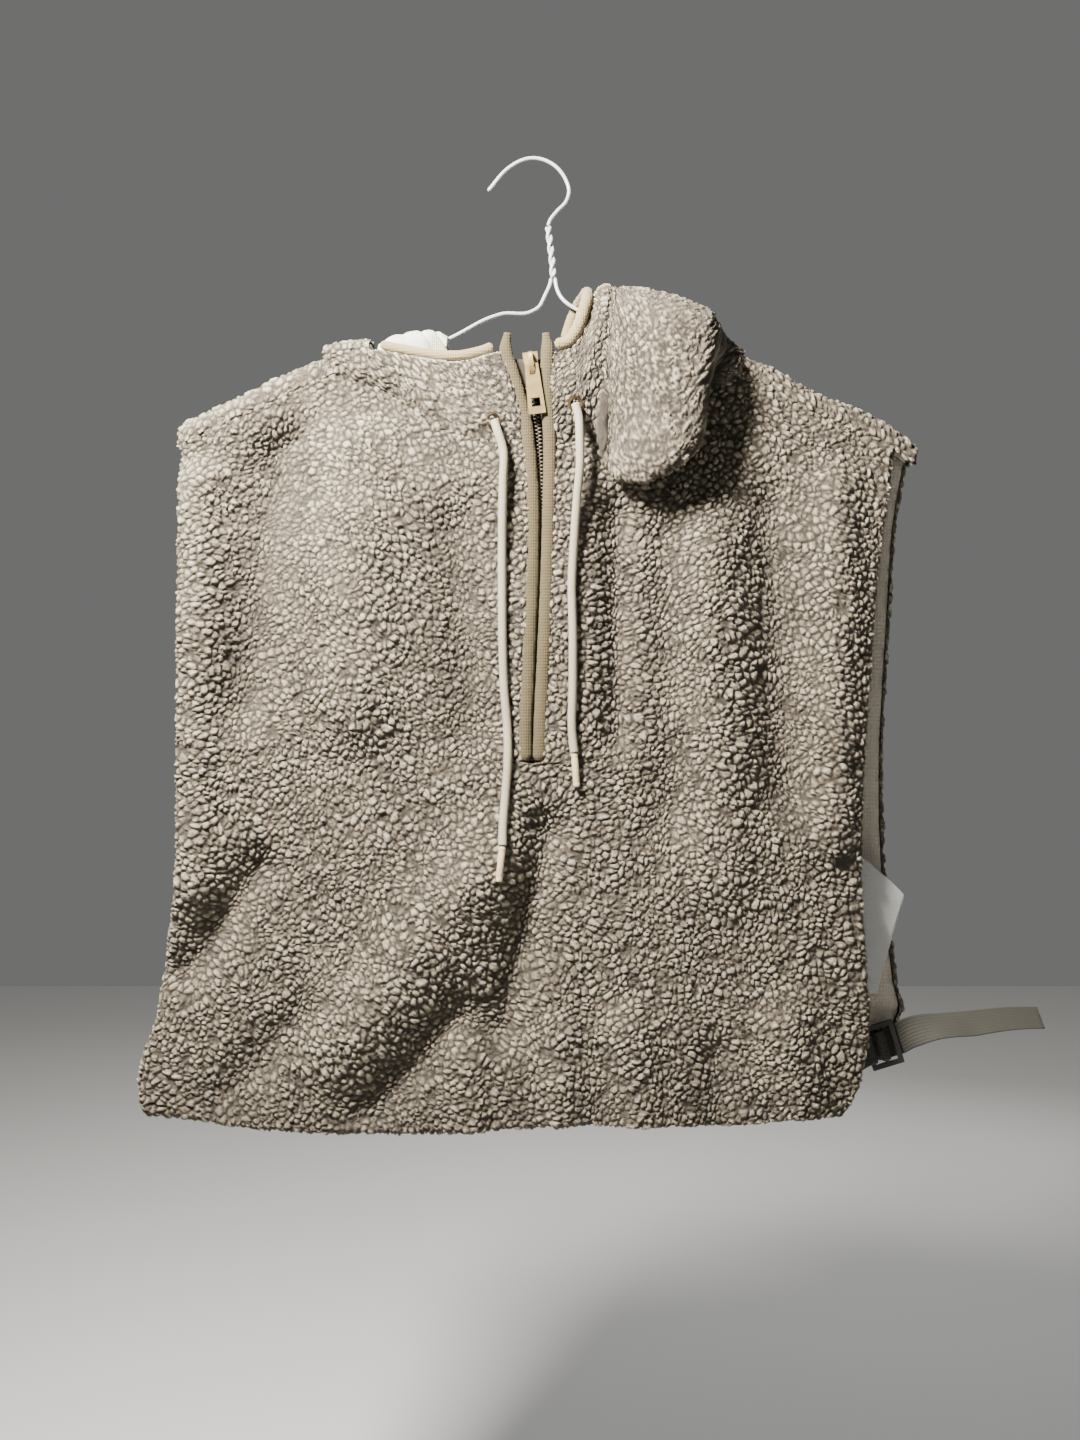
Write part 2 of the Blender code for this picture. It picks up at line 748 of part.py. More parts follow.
def back_panel(look):
    """Rows that roll over the shoulders from their front seams, then rows down to the hem."""
    share = np.linspace(0.0, 1.0, BACK_COLUMNS)
    first_x = back_columns()
    in_neck = (first_x > FRONT_NECK[0].x) & (first_x < FRONT_NECK[-1].x)
    fold_z = shoulder_z(first_x)
    top = np.where(in_neck, column(BACK_NECK, "z", "x", first_x), fold_z)
    down = np.linspace(0.0, 1.0, BACK_ROWS + 1)[1:, None]
    z = top + (BACK_HEM_Z - top) * down
    left = column(BACK_EDGES, "left", "z", z[:, :1]) + EDGE_INSET
    right = column(BACK_EDGES, "right", "z", z[:, -1:]) - EDGE_INSET
    x = left + (right - left) * share
    lower = back_surface(x, z)
    angle = np.radians(WRAP_ANGLES)[:, None]
    roll_y = np.broadcast_to(SHOULDER_Y - SHOULDER_RADIUS * np.cos(angle), (len(angle), BACK_COLUMNS))
    roll_z = np.where(in_neck, top, fold_z) + SHOULDER_RADIUS * np.sin(angle) * ~in_neck
    roll_x = np.broadcast_to(first_x, roll_y.shape)
    roll = np.stack([roll_x, roll_y, roll_z], axis=-1)
    front_top_row = front_grid()[0][0]
    slope = np.gradient(fold_z, first_x)
    seam_y = np.interp(first_x, front_top_row[:, 0], front_top_row[:, 1])
    seam_z = np.interp(first_x, front_top_row[:, 0], front_top_row[:, 2])
    seam_z = seam_z + (SEAM + 4 * GAP) * np.hypot(1.0, slope)
    seam = np.stack([first_x, seam_y, seam_z], axis=-1)[None]
    mid = np.concatenate([seam, roll, lower])
    keep = np.ones((mid.shape[0] - 1, mid.shape[1] - 1), bool)
    keep[:len(WRAP_ANGLES)] = ~(in_neck[:-1] | in_neck[1:])
    return piece("back_panel", wall(mid, FLEECE, keep), look)


def side_facing(name, side, look):
    """A flat tape inside a side edge of the front panel, made from the panel's own points moved back."""
    mid, _ = front_grid()
    behind = grid_normals(mid) * np.sign(grid_normals(mid)[..., 1:2])
    inner = mid + behind * (FLEECE / 2 + 5 * GAP + FACING / 2)
    edge, beside = (inner[:, 0], inner[:, 1]) if side < 0 else (inner[:, -1], inner[:, -2])
    share = np.array(FACING_SHARES)[:, None]
    reach = beside[FACING_ROWS, None] - edge[FACING_ROWS, None]
    strip = edge[FACING_ROWS, None] + reach * share
    return piece(name, wall(strip, FACING, rim=0.0), look)


def care_label(look):
    """A bare woven label between the front and back panels at the right edge, curling to the back."""
    along = np.linspace(0.0, 1.0, 6)
    down = np.linspace(0.0, 1.0, 7)[:, None]
    top_x = LABEL_TOP[0] + (LABEL_TOP_OUT[0] - LABEL_TOP[0]) * along
    top_z = LABEL_TOP[1] + (LABEL_TOP_OUT[1] - LABEL_TOP[1]) * along ** 1.3
    foot_x = LABEL_FOOT[0] + (LABEL_FOOT_OUT[0] - LABEL_FOOT[0]) * along
    foot_z = LABEL_FOOT[1] + (LABEL_FOOT_OUT[1] - LABEL_FOOT[1]) * along
    x = top_x + (foot_x - top_x) * down
    z = top_z + (foot_z - top_z) * down
    y = LABEL_Y + LABEL_CURL * along ** 1.2 + LABEL_BOW * np.sin(np.pi * down) * along
    return piece("care_label", wall(np.stack([x, y, z], axis=-1), LABEL, rim=0.0), look)


# Hood

HOOD_COLUMNS = 28
HOOD_STEPS = (1, 2, 3, 3, 2, 1, 2)  # rows between one knot of a station and the next
HOOD_FRONT_ROWS = 12
HOOD_OUTER_Y = -1.0
HOOD_EASE = 1.6              # between the hood's lip and the chest it hangs over
HOOD_BACK_COLUMNS = 18
HOOD_NAPE_COLUMNS = 20       # the columns before the hood turns back under itself
HOOD_LEFT_COLUMNS = (-131.0, -122.0, -113.0, -104.0, -94.0, -81.0, -68.0, -56.0, -44.0, -33.0, -24.0, -17.0)
HOOD_LEFT_ROWS = 8
HOOD_LEFT_SWELL = 4.5        # how far the left stretch stands out in front
ROLLS_OVER_X = -100.0        # left of this the left stretch goes on over the shoulder
LOOP_END_X = 44.0            # left of this the right side ends at its binding
NAPE_Y = -13.0
NAPE_DROPS = (6.0, 26.0)     # how far below the ridge the nape's two points are
BROW_DROP = 14.0
POUCH_MIDDLE_X = -10.0
POUCH_HALF_WIDTH = 122.0
POUCH_SIDES = (-128.0, 108.0)
POUCH_DEPTHS = (22.0, 135.0)  # below the neck seam: at the pouch's sides, and more at its middle
POUCH_RADIUS = 6.0
POUCH_TURNS = (45.0, 90.0, 135.0)
POUCH_JOIN_X = 50.0          # right of this the pouch meets the hood's right side
ROLL_ANGLES = (30.0, 60.0, 90.0, 120.0, 150.0, 180.0)
ROLL_RISE = 7.0
LINING_COLUMNS = (-99.0, -92.0, -84.0, -76.0, -70.0, -64.0, -59.0, -54.5)
LINING_FRONT_Y = -41.5
LINING_BACK_Y = -9.0
LINING_ARCH = 12.0
LINING_LEGS = (-14.0, -7.0)
EDGE_WIDTH = 6.0             # the flat binding of the hood's left stretch
EDGE_DEPTH = 4.0


def hood_left_grid():
    """The hood's left stretch, as columns up from the neck seam, and which cells roll over behind."""
    x = np.array(HOOD_LEFT_COLUMNS)
    seam_y, low = neck_seam(x)
    high = column(HOOD_LEFT_TOP, "z", "x", x)
    rise = np.linspace(0.0, 1.0, HOOD_LEFT_ROWS)[:, None]
    z = low + (high - low) * rise
    swell = np.sin(np.pi * 0.85 * rise) ** 0.8
    y = seam_y - HOOD_LEFT_SWELL * swell * smoothstep(-134, -105, x)
    lip = column(ZIP, "left", "z", z) - BINDING_WIDTH / 2 - GAP - RIM
    lean = smoothstep(-60, -17, x) * (lip - x[-1])
    front = np.stack([x + lean, y, z], axis=-1)
    angle = np.radians(ROLL_ANGLES)[:, None]
    reach = (HOOD_OUTER_Y - y[-1]) / 2
    roll_y = y[-1] + reach * (1 - np.cos(angle))
    roll_z = high + ROLL_RISE * np.sin(angle)
    roll = np.stack([np.broadcast_to(x, roll_y.shape), roll_y, roll_z], axis=-1)
    keep = np.ones((len(rise) + len(angle) - 1, len(x) - 1), bool)
    rolls_over = x < ROLLS_OVER_X
    keep[len(rise) - 1:] = rolls_over[:-1] & rolls_over[1:]
    return np.concatenate([front, roll]), keep


def hood_left(look):
    """The collar-like stretch: up from the neck seam, and over the shoulder at its left end."""
    mid, keep = hood_left_grid()
    return piece("hood_left", wall(mid, HOOD_FLEECE, keep), look)


def hood_right_grid():
    """The hood's right side. Each station is a smooth path: neck seam, lip, belly, brow, ridge, nape.

    The stations go out over the roll, turn back under it and come out again to the shoulder. Left of
    the loop the hood ends at its binding, so the cells past the ridge are left out there.
    """
    at = np.linspace(0.0, len(HOOD_STATIONS) - 1.0, HOOD_COLUMNS)
    step = np.arange(len(HOOD_STATIONS))
    hood = {name: through(step, [getattr(row, name) for row in HOOD_STATIONS], at)
            for name in ("x_low", "z_low", "x_high", "z_high", "y_front", "y_top")}
    x_low, x_high, y_front, z_high = (hood[name] for name in ("x_low", "x_high", "y_front", "z_high"))
    seam_y, seam_z = neck_seam(x_low)
    low = np.minimum(hood["z_low"], seam_z - 1.0)
    hangs = smoothstep(4.0, 14.0, seam_z - low)
    stands = 1.0 - hangs
    chest_y = front_surface(x_low, low)[..., 1] - (FLEECE + HOOD_FLEECE) / 2 - HOOD_EASE
    lip_y = np.minimum(y_front + 3.0, chest_y)
    belly_y = np.minimum(y_front, chest_y)
    height = z_high - low
    rise = z_high - seam_z
    edge_y = hangs * (seam_y - 6.0) + stands * (0.8 * seam_y + 0.2 * y_front)
    edge_z = seam_z + 2.0 * hangs + 4.0 * stands
    under_y = hangs * lip_y + stands * (0.3 * seam_y + 0.7 * y_front)
    under_z = low * hangs + (seam_z + 0.2 * rise) * stands
    belly_z = (low + 0.42 * height) * hangs + (seam_z + 0.5 * rise) * stands
    points = [
        (x_low, seam_y + 2.0 * hangs, seam_z + 2.2 * hangs),
        (x_low, edge_y, edge_z),
        (x_low, under_y, under_z),
        (0.55 * x_low + 0.45 * x_high, belly_y, belly_z),
        (x_high, 0.7 * y_front + 0.3 * hood["y_top"], z_high - BROW_DROP),
        (x_high, hood["y_top"], z_high),
        (x_high, np.full(HOOD_COLUMNS, NAPE_Y), z_high - NAPE_DROPS[0]),
        (x_high, np.full(HOOD_COLUMNS, HOOD_OUTER_Y), z_high - NAPE_DROPS[1]),
    ]
    knots = np.stack([np.stack(point, axis=-1) for point in points])
    columns = []
    for k in range(HOOD_COLUMNS):
        line = knots[:, k]
        run = np.concatenate([[0.0], np.cumsum(np.linalg.norm(np.diff(line, axis=0), axis=1))])
        legs = [np.linspace(run[i], run[i + 1], steps + 1)[1:] for i, steps in enumerate(HOOD_STEPS)]
        rows = np.concatenate([[0.0], *legs])
        columns.append(np.stack([through(run, line[:, axis], rows) for axis in range(3)], axis=1))
    keep = np.ones((sum(HOOD_STEPS), HOOD_COLUMNS - 1), bool)
    keep[HOOD_FRONT_ROWS - 1:] = x_high[:-1] > LOOP_END_X
    return np.stack(columns, axis=1), keep


def hood_right(look):
    """The hood's right side: a roll over the right shoulder, folded back on itself."""
    mid, keep = hood_right_grid()
    return piece("hood_right", wall(mid, HOOD_FLEECE, keep), look)


def hood_back_top(x):
    """The hood's face edge behind. On the right it meets the nape of the hood's right side."""
    nape = hood_right_grid()[0][-1, :HOOD_NAPE_COLUMNS]
    joined = np.interp(x, nape[:, 0], nape[:, 2]) - SEAM - 4 * GAP
    return np.where(x > POUCH_JOIN_X, joined, column(HOOD_BACK_TOP, "z", "x", x))


def hood_back_grid():
    """A flat pouch behind the back panel: over the neck seam, down, round its fold and up again."""
    x = np.linspace(*POUCH_SIDES, HOOD_BACK_COLUMNS)
    seam_z = column(BACK_NECK, "z", "x", x)
    hang = np.sqrt(1.0 - ((x - POUCH_MIDDLE_X) / POUCH_HALF_WIDTH) ** 2)
    fold_z = seam_z - POUCH_DEPTHS[0] - POUCH_DEPTHS[1] * hang
    radius = POUCH_RADIUS
    inner_y = HOOD_OUTER_Y - 2 * radius
    neck = [(BACK_Y, SEAM + GAP), (BACK_Y + 1.5, 7.0), (BACK_Y + 6.5, 9.0), (inner_y - 0.3, 4.0)]
    over = np.stack([np.stack([x, np.full_like(x, y), seam_z + z], axis=-1) for y, z in neck])
    down = np.linspace(0.0, 1.0, 5)[:, None]
    down_z = seam_z - 3.0 + (fold_z + radius - seam_z + 3.0) * down
    inner = np.stack([np.broadcast_to(x, down_z.shape), np.full(down_z.shape, inner_y), down_z], axis=-1)
    angle = np.radians(POUCH_TURNS)[:, None]
    turn_y = np.broadcast_to(inner_y + radius * (1 - np.cos(angle)), (len(angle), len(x)))
    turn_z = fold_z + radius * (1 - np.sin(angle))
    turn = np.stack([np.broadcast_to(x, turn_y.shape), turn_y, turn_z], axis=-1)
    up_z = fold_z + radius + (hood_back_top(x) - fold_z - radius) * down
    outer = np.stack([np.broadcast_to(x, up_z.shape), np.full(up_z.shape, HOOD_OUTER_Y), up_z], axis=-1)
    return np.concatenate([over, inner, turn, outer])


def hood_back(look):
    """The part of the hood that hangs behind the back panel."""
    return piece("hood_back", wall(hood_back_grid(), HOOD_FLEECE), look)


def hood_lining(look):
    """Smooth lining hung over the hanger's left arm, with its right end turned back round the wire."""
    x = np.array(LINING_COLUMNS)
    top = column(LINING_TOP, "z", "x", x)
    narrows = smoothstep(-70, -54, x)
    front_y = LINING_FRONT_Y + 6.0 * narrows
    back_y = LINING_BACK_Y - 2.0 * narrows
    angle = np.linspace(0.0, np.pi, 9)[:, None]
    leg = np.array(LINING_LEGS)[:, None]
    y = 0.5 * (front_y + back_y) - 0.5 * (back_y - front_y) * np.cos(angle)
    z = top - LINING_ARCH + LINING_ARCH * np.sin(angle) ** 0.8
    arch = np.stack(np.broadcast_arrays(x, y, z), axis=-1)
    front_leg = np.stack(np.broadcast_arrays(x, front_y, top - LINING_ARCH + leg), axis=-1)
    back_leg = np.stack(np.broadcast_arrays(x, back_y, top - LINING_ARCH + leg[::-1]), axis=-1)
    mid = np.concatenate([front_leg, arch, back_leg])
    return piece("hood_lining", wall(mid, LINING, rim=0.4), look)


def hood_edge_left(look):
    """The binding along the top of the hood's left stretch, from the shoulder roll to the zip."""
    mid, _ = hood_left_grid()
    top = mid[HOOD_LEFT_ROWS - 1]
    inside = top[(top[:, 0] > -97) & (top[:, 0] < -21)]
    ends = [inside[0] + (-2.5, 0.0, 0.6), inside[-1] + (3.0, 0.0, 1.4)]
    line = np.concatenate([ends[:1], inside, ends[1:]]) + (0.0, 0.0, RIM + GAP + EDGE_WIDTH / 2)
    path = route(line, 24)
    return piece("hood_edge_left", swept(path, ellipse(EDGE_DEPTH, EDGE_WIDTH, 10), (0, 1, 0)), look)


def hood_edge_right(look):
    """The binding from the zip, up and over the hanger's right arm and down behind it."""
    path = route(HOOD_LOOP_ROUTE, 36)
    return piece("hood_edge_right", swept(path, ellipse(BINDING_WIDTH, BINDING_WIDTH, 10), (1, 0, 0)), look)


def hood_edge_back(look):
    """The binding along the hood's face edge where it hangs behind."""
    edge = hood_back_grid()[-1]
    x = np.linspace(-86.0, 22.0, 16)
    z = np.interp(x, edge[:, 0], edge[:, 2]) + RIM + 2 * GAP + EDGE_WIDTH / 2
    path = np.stack([x, np.full_like(x, HOOD_OUTER_Y), z], axis=1)
    return piece("hood_edge_back", swept(path, ellipse(EDGE_DEPTH, EDGE_WIDTH, 10), (0, 1, 0)), look)


# Zip

ZIP_ROWS = 20
ZIP_TOP_Z = -133.0
ZIP_FOOT_Z = ZIP_END_Z + RIM + 3 * GAP
TAPE_TOP_Z = -149.0
TAPE_REACH = 3.0             # how far the tape goes behind each binding
PULL_PIVOT = np.array([1.4, -62.7, -155.0])
PULL_TILT = np.radians(7.0)  # the zip leans, so its slider and pull do
PULL_THICKNESS = 1.8
PULL_BAR = 1.6
CROWN_WIDTH = 2.6
CROWN_THICKNESS = 1.3
SLIDER_THICKNESS = 3.2
SLIDER_Y = 5.4               # behind the pull's pivot

# The slider's outline: its width at each height from the pivot.
SLIDER_OUTLINE = [
    (9.4, 9.8),
    (9.0, 4.0),
    (7.2, -3.0),
    (6.0, -7.5),
]

# The crown's arch, as y and z from the pivot.
CROWN_ROUTE = [
    (4.6, 8.9),
    (1.4, 9.1),
    (-1.2, 8.2),
    (-1.85, 6.0),
    (-1.85, -1.8),
    (-1.1, -3.9),
    (1.2, -4.7),
    (4.6, -4.6),
]

# The pull's rows down from the pivot, and x of its fork's and hole's sides.
PULL_ROWS = (1.4, -2.0, -5.7, -13.0, -20.5, -26.2, -30.7)
PULL_SIDES = (2.9, 1.8)
PULL_TOP_HALF = 4.2
PULL_FLARE = 1.3


def zip_binding(name, side, look):
    """A puffy tube of jersey down one edge of the slit, pinched at its upper end."""
    z = np.linspace(ZIP_FOOT_Z, ZIP_TOP_Z, ZIP_ROWS)
    path = np.stack([column(ZIP, side, "z", z), np.full_like(z, ZIP_Y), z], axis=1)
    share = np.linspace(0.0, 1.0, ZIP_ROWS)[:, None, None]
    pinch = 1.0 - 0.45 * smoothstep(0.955, 1.0, share)
    profile = ellipse(BINDING_WIDTH, BINDING_DEPTH, 10)[None] * pinch
    return piece(name, swept(path, profile, (1, 0, 0)), look)


def zip_tape(look):
    """The tape that closes the slit behind the bindings."""
    z = np.linspace(ZIP_FOOT_Z, TAPE_TOP_Z, ZIP_ROWS)[:, None]
    left = column(ZIP, "left", "z", z) - TAPE_REACH
    right = column(ZIP, "right", "z", z) + TAPE_REACH
    x = left + (right - left) * np.linspace(0.0, 1.0, 3)
    y = np.full(x.shape, ZIP_Y + BINDING_DEPTH / 2 + GAP + TAPE_THICKNESS / 2)
    mid = np.stack([x, y, np.broadcast_to(z, x.shape)], axis=-1)
    return piece("zip_tape", wall(mid, TAPE_THICKNESS, rim=0.0), look)


def leaned(points):
    """Points of the slider or pull, given from the pivot, turned with the zip's lean and put in place."""
    x, y, z = np.moveaxis(np.asarray(points, float), -1, 0)
    turned_x = x * np.cos(PULL_TILT) - z * np.sin(PULL_TILT)
    turned_z = x * np.sin(PULL_TILT) + z * np.cos(PULL_TILT)
    return np.stack([turned_x, y, turned_z], axis=-1) + PULL_PIVOT


def join(made, other):
    """Unites a second closed shape with a piece, and keeps the second out of the model."""
    modifier = made.modifiers.new("Union", "BOOLEAN")
    modifier.operation = "UNION"
    modifier.solver = "EXACT"
    modifier.object = other
    other.hide_render = True
    other.display_type = "WIRE"
    return made


def zip_slider(look):
    """A tapered body in front of the tape, and the crown that arches over the pull's bar."""
    width, height = np.array(SLIDER_OUTLINE).T[..., None]
    half = np.array([-0.5, -0.25, 0.25, 0.5])
    grid = np.stack(np.broadcast_arrays(width * half, SLIDER_Y, height), axis=-1)
    points, faces = wall(grid, SLIDER_THICKNESS, rim=0.3)
    body = piece("zip_slider", (leaned(points), faces), look)
    arch = route([(0.0, y, z) for y, z in CROWN_ROUTE], 16)
    points, faces = swept(arch, oblong(CROWN_WIDTH, CROWN_THICKNESS), (1, 0, 0))
    return join(body, piece("crown", (leaned(points), faces), look))


def zip_pull(look):
    """A plate with a fork at its top, a bar across the fork and a square hole near its foot."""
    rows = np.array(PULL_ROWS)
    half_width = PULL_TOP_HALF + PULL_FLARE * (rows[0] - rows) / (rows[0] - rows[-1])
    inner, hole = PULL_SIDES
    fixed = [np.full(len(rows), side) for side in (-inner, -hole, hole, inner)]
    x = np.stack([-half_width, *fixed, half_width], axis=1)
    grid = np.stack([x, np.zeros(x.shape), np.broadcast_to(rows[:, None], x.shape)], axis=-1)
    keep = np.ones((6, 5), bool)
    keep[:2, 2] = False
    keep[4, 1:4] = False
    points, faces = wall(grid, PULL_THICKNESS, keep, rim=0.3)
    plate = piece("zip_pull", (leaned(points), faces), look)
    reach = inner + GAP
    bar = np.array([(-reach, 0.0, 0.0), (0.0, 0.0, 0.0), (reach, 0.0, 0.0)])
    points, faces = swept(bar, ellipse(PULL_BAR, PULL_BAR, 12), (0, 1, 0))
    return join(plate, piece("pull_bar", (leaned(points), faces), look))


# Drawcord

def resting_on(mid, thickness, x, z):
    """The place on the front face of a grid surface at (x, z), and the face's outward direction."""
    flat = mid.reshape(-1, 3)
    near = flat[np.argsort((flat[:, 0] - x) ** 2 + (flat[:, 2] - z) ** 2)[:5]]
    plane = np.stack([np.ones(5), near[:, 0] - x, near[:, 2] - z], axis=1)
    height, slope_x, slope_z = np.linalg.lstsq(plane, near[:, 1], rcond=None)[0]
    outward = np.array([slope_x, -1.0, slope_z])
    outward = outward / np.linalg.norm(outward)
    place = np.array([x, height, z])
    bulge = np.max((near - place) @ outward)
    return place + outward * (thickness / 2 + bulge), outward


def eyelet(name, mid, place, look):
    """A pressed ring on the face of the hood."""
    seat, outward = resting_on(mid, HOOD_FLEECE, *place)
    centre = seat + outward * (2 * GAP + EYELET_HEIGHT / 2)
    across = np.cross(outward, (0.0, 0.0, 1.0))
    across = across / np.linalg.norm(across)
    upward = np.cross(across, outward)
    turn = np.linspace(0.0, 2 * np.pi, EYELET_SIDES, endpoint=False)[:, None]
    outward_ring = across * np.cos(turn) + upward * np.sin(turn)
    section = np.array([(0.5, 0.5), (-0.5, 0.5), (-0.5, -0.5), (0.5, -0.5)])
    band = (EYELET - EYELET_HOLE) / 2
    radius = (EYELET + EYELET_HOLE) / 4
    corners = (centre + outward_ring[:, None] * (radius + section[:, :1] * band)
               + outward * section[:, 1:] * EYELET_HEIGHT)
    index = np.arange(4 * EYELET_SIDES).reshape(EYELET_SIDES, 4)
    after = np.roll(index, -1, axis=0)
    faces = np.stack([index, np.roll(index, -1, axis=1), np.roll(after, -1, axis=1), after], axis=-1)
    return piece(name, (corners.reshape(-1, 3), faces.reshape(-1, 4)), look, smooth=False)


def before_chest(rows, diameter):
    """Points in front of the front panel: its face, then the clearance and half the thickness."""
    x, z, clear = np.array(rows).T
    face_y = front_surface(x, z)[..., 1] - FLEECE / 2
    return np.stack([x, face_y - clear - diameter / 2, z], axis=1)


def cord(name, mid, place, lean, rows, look):
    """A round cord that comes down out of its eyelet and hangs in front of the chest.

    lean is how much nearer the eyelet its end comes, because the hood's face tilts there.
    """
    seat, outward = resting_on(mid, HOOD_FLEECE, *place)
    start = seat + outward * (EYELET_HEIGHT + 3 * GAP + CORD / 2 - lean) + (0.0, 0.0, -0.6)
    points = np.concatenate([[start], before_chest(rows, CORD)])
    length = np.sum(np.linalg.norm(np.diff(points, axis=0), axis=1))
    return tube(name, route(points, int(length / (2.2 * CORD))), CORD, look)


def aglet(name, rows, look):
    """A stiff tip on the end of a cord, with its edges eased."""
    top, foot = before_chest(rows, AGLET)
    path = [top, top + 0.03 * (foot - top), foot - 0.03 * (foot - top), foot]
    profile = ellipse(AGLET, AGLET, 12) * np.array([0.86, 1.0, 1.0, 0.86])[:, None, None]
    return piece(name, swept(path, profile, (1, 0, 0)), look)


# Side straps

def strap_axes(at):
    """X and Z of the strap's run (u) and of the buckle's height (v) at a fastening."""
    slope = np.radians(at.slope)
    run = np.array([at.side * np.cos(slope), 0.0, np.sin(slope)])
    height = np.array([-at.side * np.sin(slope), 0.0, np.cos(slope)])
    return run, height


def from_strap(at, u, y):
    """Points of a strap's route in the vest's own frame."""
    run, _ = strap_axes(at)
    u = np.asarray(u, float)
    return np.array([at.x, 0.0, at.z]) + u[:, None] * run + np.asarray(y, float)[:, None] * (0.0, 1.0, 0.0)


def buckle(name, at, look):
    """A three-bar slide: a plate with two windows."""
    run, height = strap_axes(at)
    u = np.array(BUCKLE_BARS)
    v = np.array(BUCKLE_HEIGHTS)
    middle = np.array([at.x, BUCKLE_Y, at.z])
    grid = middle + u[:, None, None] * run + v[:, None] * height
    keep = np.ones((5, 5), bool)
    keep[1, 1:4] = False
    keep[3, 1:4] = False
    return piece(name, wall(grid, BUCKLE_THICKNESS, keep, rim=0.3), look, smooth=False)


def webbing(name, path, wide, look):
    """Flat webbing along a path, its width along wide."""
    profile = oblong(WEBBING_WIDTH, WEBBING_THICKNESS)
    return piece(name, swept(path, profile, wide), look, smooth=False)


def strap_loop(name, at, look):
    """The short loop that holds the buckle to the inside of the front panel."""
    u, y = np.array(LOOP_ROUTE).T
    bar_y = LOOP_ROUTE[4][1]
    reach = (at.front_y - bar_y) / (LOOP_ROUTE[0][1] - bar_y)
    y = np.where(y < bar_y, bar_y + (y - bar_y) * reach, y)
    _, height = strap_axes(at)
    return webbing(name, from_strap(at, u, y), height, look)


def strap_left(look):
    """The left strap: from the back panel, through the buckle, its free end tucked behind the front."""
    u, y = np.array(STRAP_ROUTE + LEFT_TAIL).T
    _, height = strap_axes(FASTENING_LEFT)
    return webbing("strap_left", from_strap(FASTENING_LEFT, u, y), height, look)


def strap_right(look):
    """The right strap: from the back panel, through the buckle, its free end twisted and standing out."""
    u, y = np.array(STRAP_ROUTE).T
    _, height = strap_axes(FASTENING_RIGHT)
    at_buckle = from_strap(FASTENING_RIGHT, u, y)
    tail = np.array([(row.x, row.y, row.z) for row in RIGHT_TAIL])
    twist = np.radians([0.0] * len(at_buckle) + [row.twist for row in RIGHT_TAIL])[:, None]
    wide = np.cos(twist) * height + np.sin(twist) * np.array([0.0, 1.0, 0.0])
    return webbing("strap_right", np.concatenate([at_buckle, tail]), wide, look)


# Hanger

def arm_seat(x):
    """Where the hanger's wire lies at x to carry the fold over the shoulder."""
    columns = back_columns()
    fold_z = shoulder_z(columns)
    slope = np.interp(x, columns, np.gradient(fold_z, columns))
    drop = (FLEECE / 2 + WIRE / 2 + 3 * GAP) * np.hypot(1.0, slope)
    return (x, SHOULDER_Y, np.interp(x, columns, fold_z) + SHOULDER_RADIUS - drop)


def hanger(coated):
    """One bent wire, in five simple stretches: hook, twisted neck, two arms and the lower bar."""
    left = ARM_LEFT_ROUTE + [arm_seat(x) for x in LEFT_SEATS] + ARM_LEFT_END
    right = ARM_RIGHT_ROUTE + [arm_seat(x) for x in RIGHT_SEATS] + ARM_RIGHT_END
    tube("hanger_hook", bent(HOOK_ROUTE, 4.0), WIRE, coated("hanger_hook"))
    tube("hanger_neck", bent(NECK_ROUTE, 7.0), NECK_TWIST, coated("hanger_neck"), 3)
    tube("hanger_arm_left", bent(left, 12.0), WIRE, coated("hanger_arm_left"))
    tube("hanger_arm_right", bent(right, 12.0), WIRE, coated("hanger_arm_right"))
    tube("hanger_bar", bent(BAR_ROUTE, 55.0), WIRE, coated("hanger_bar"))


def look_of(colour, roughness, metallic=0.0):
    """A maker of materials of one look: each piece gets its own, named after the piece."""
    return lambda name: material(name + "_look", colour, roughness, metallic)


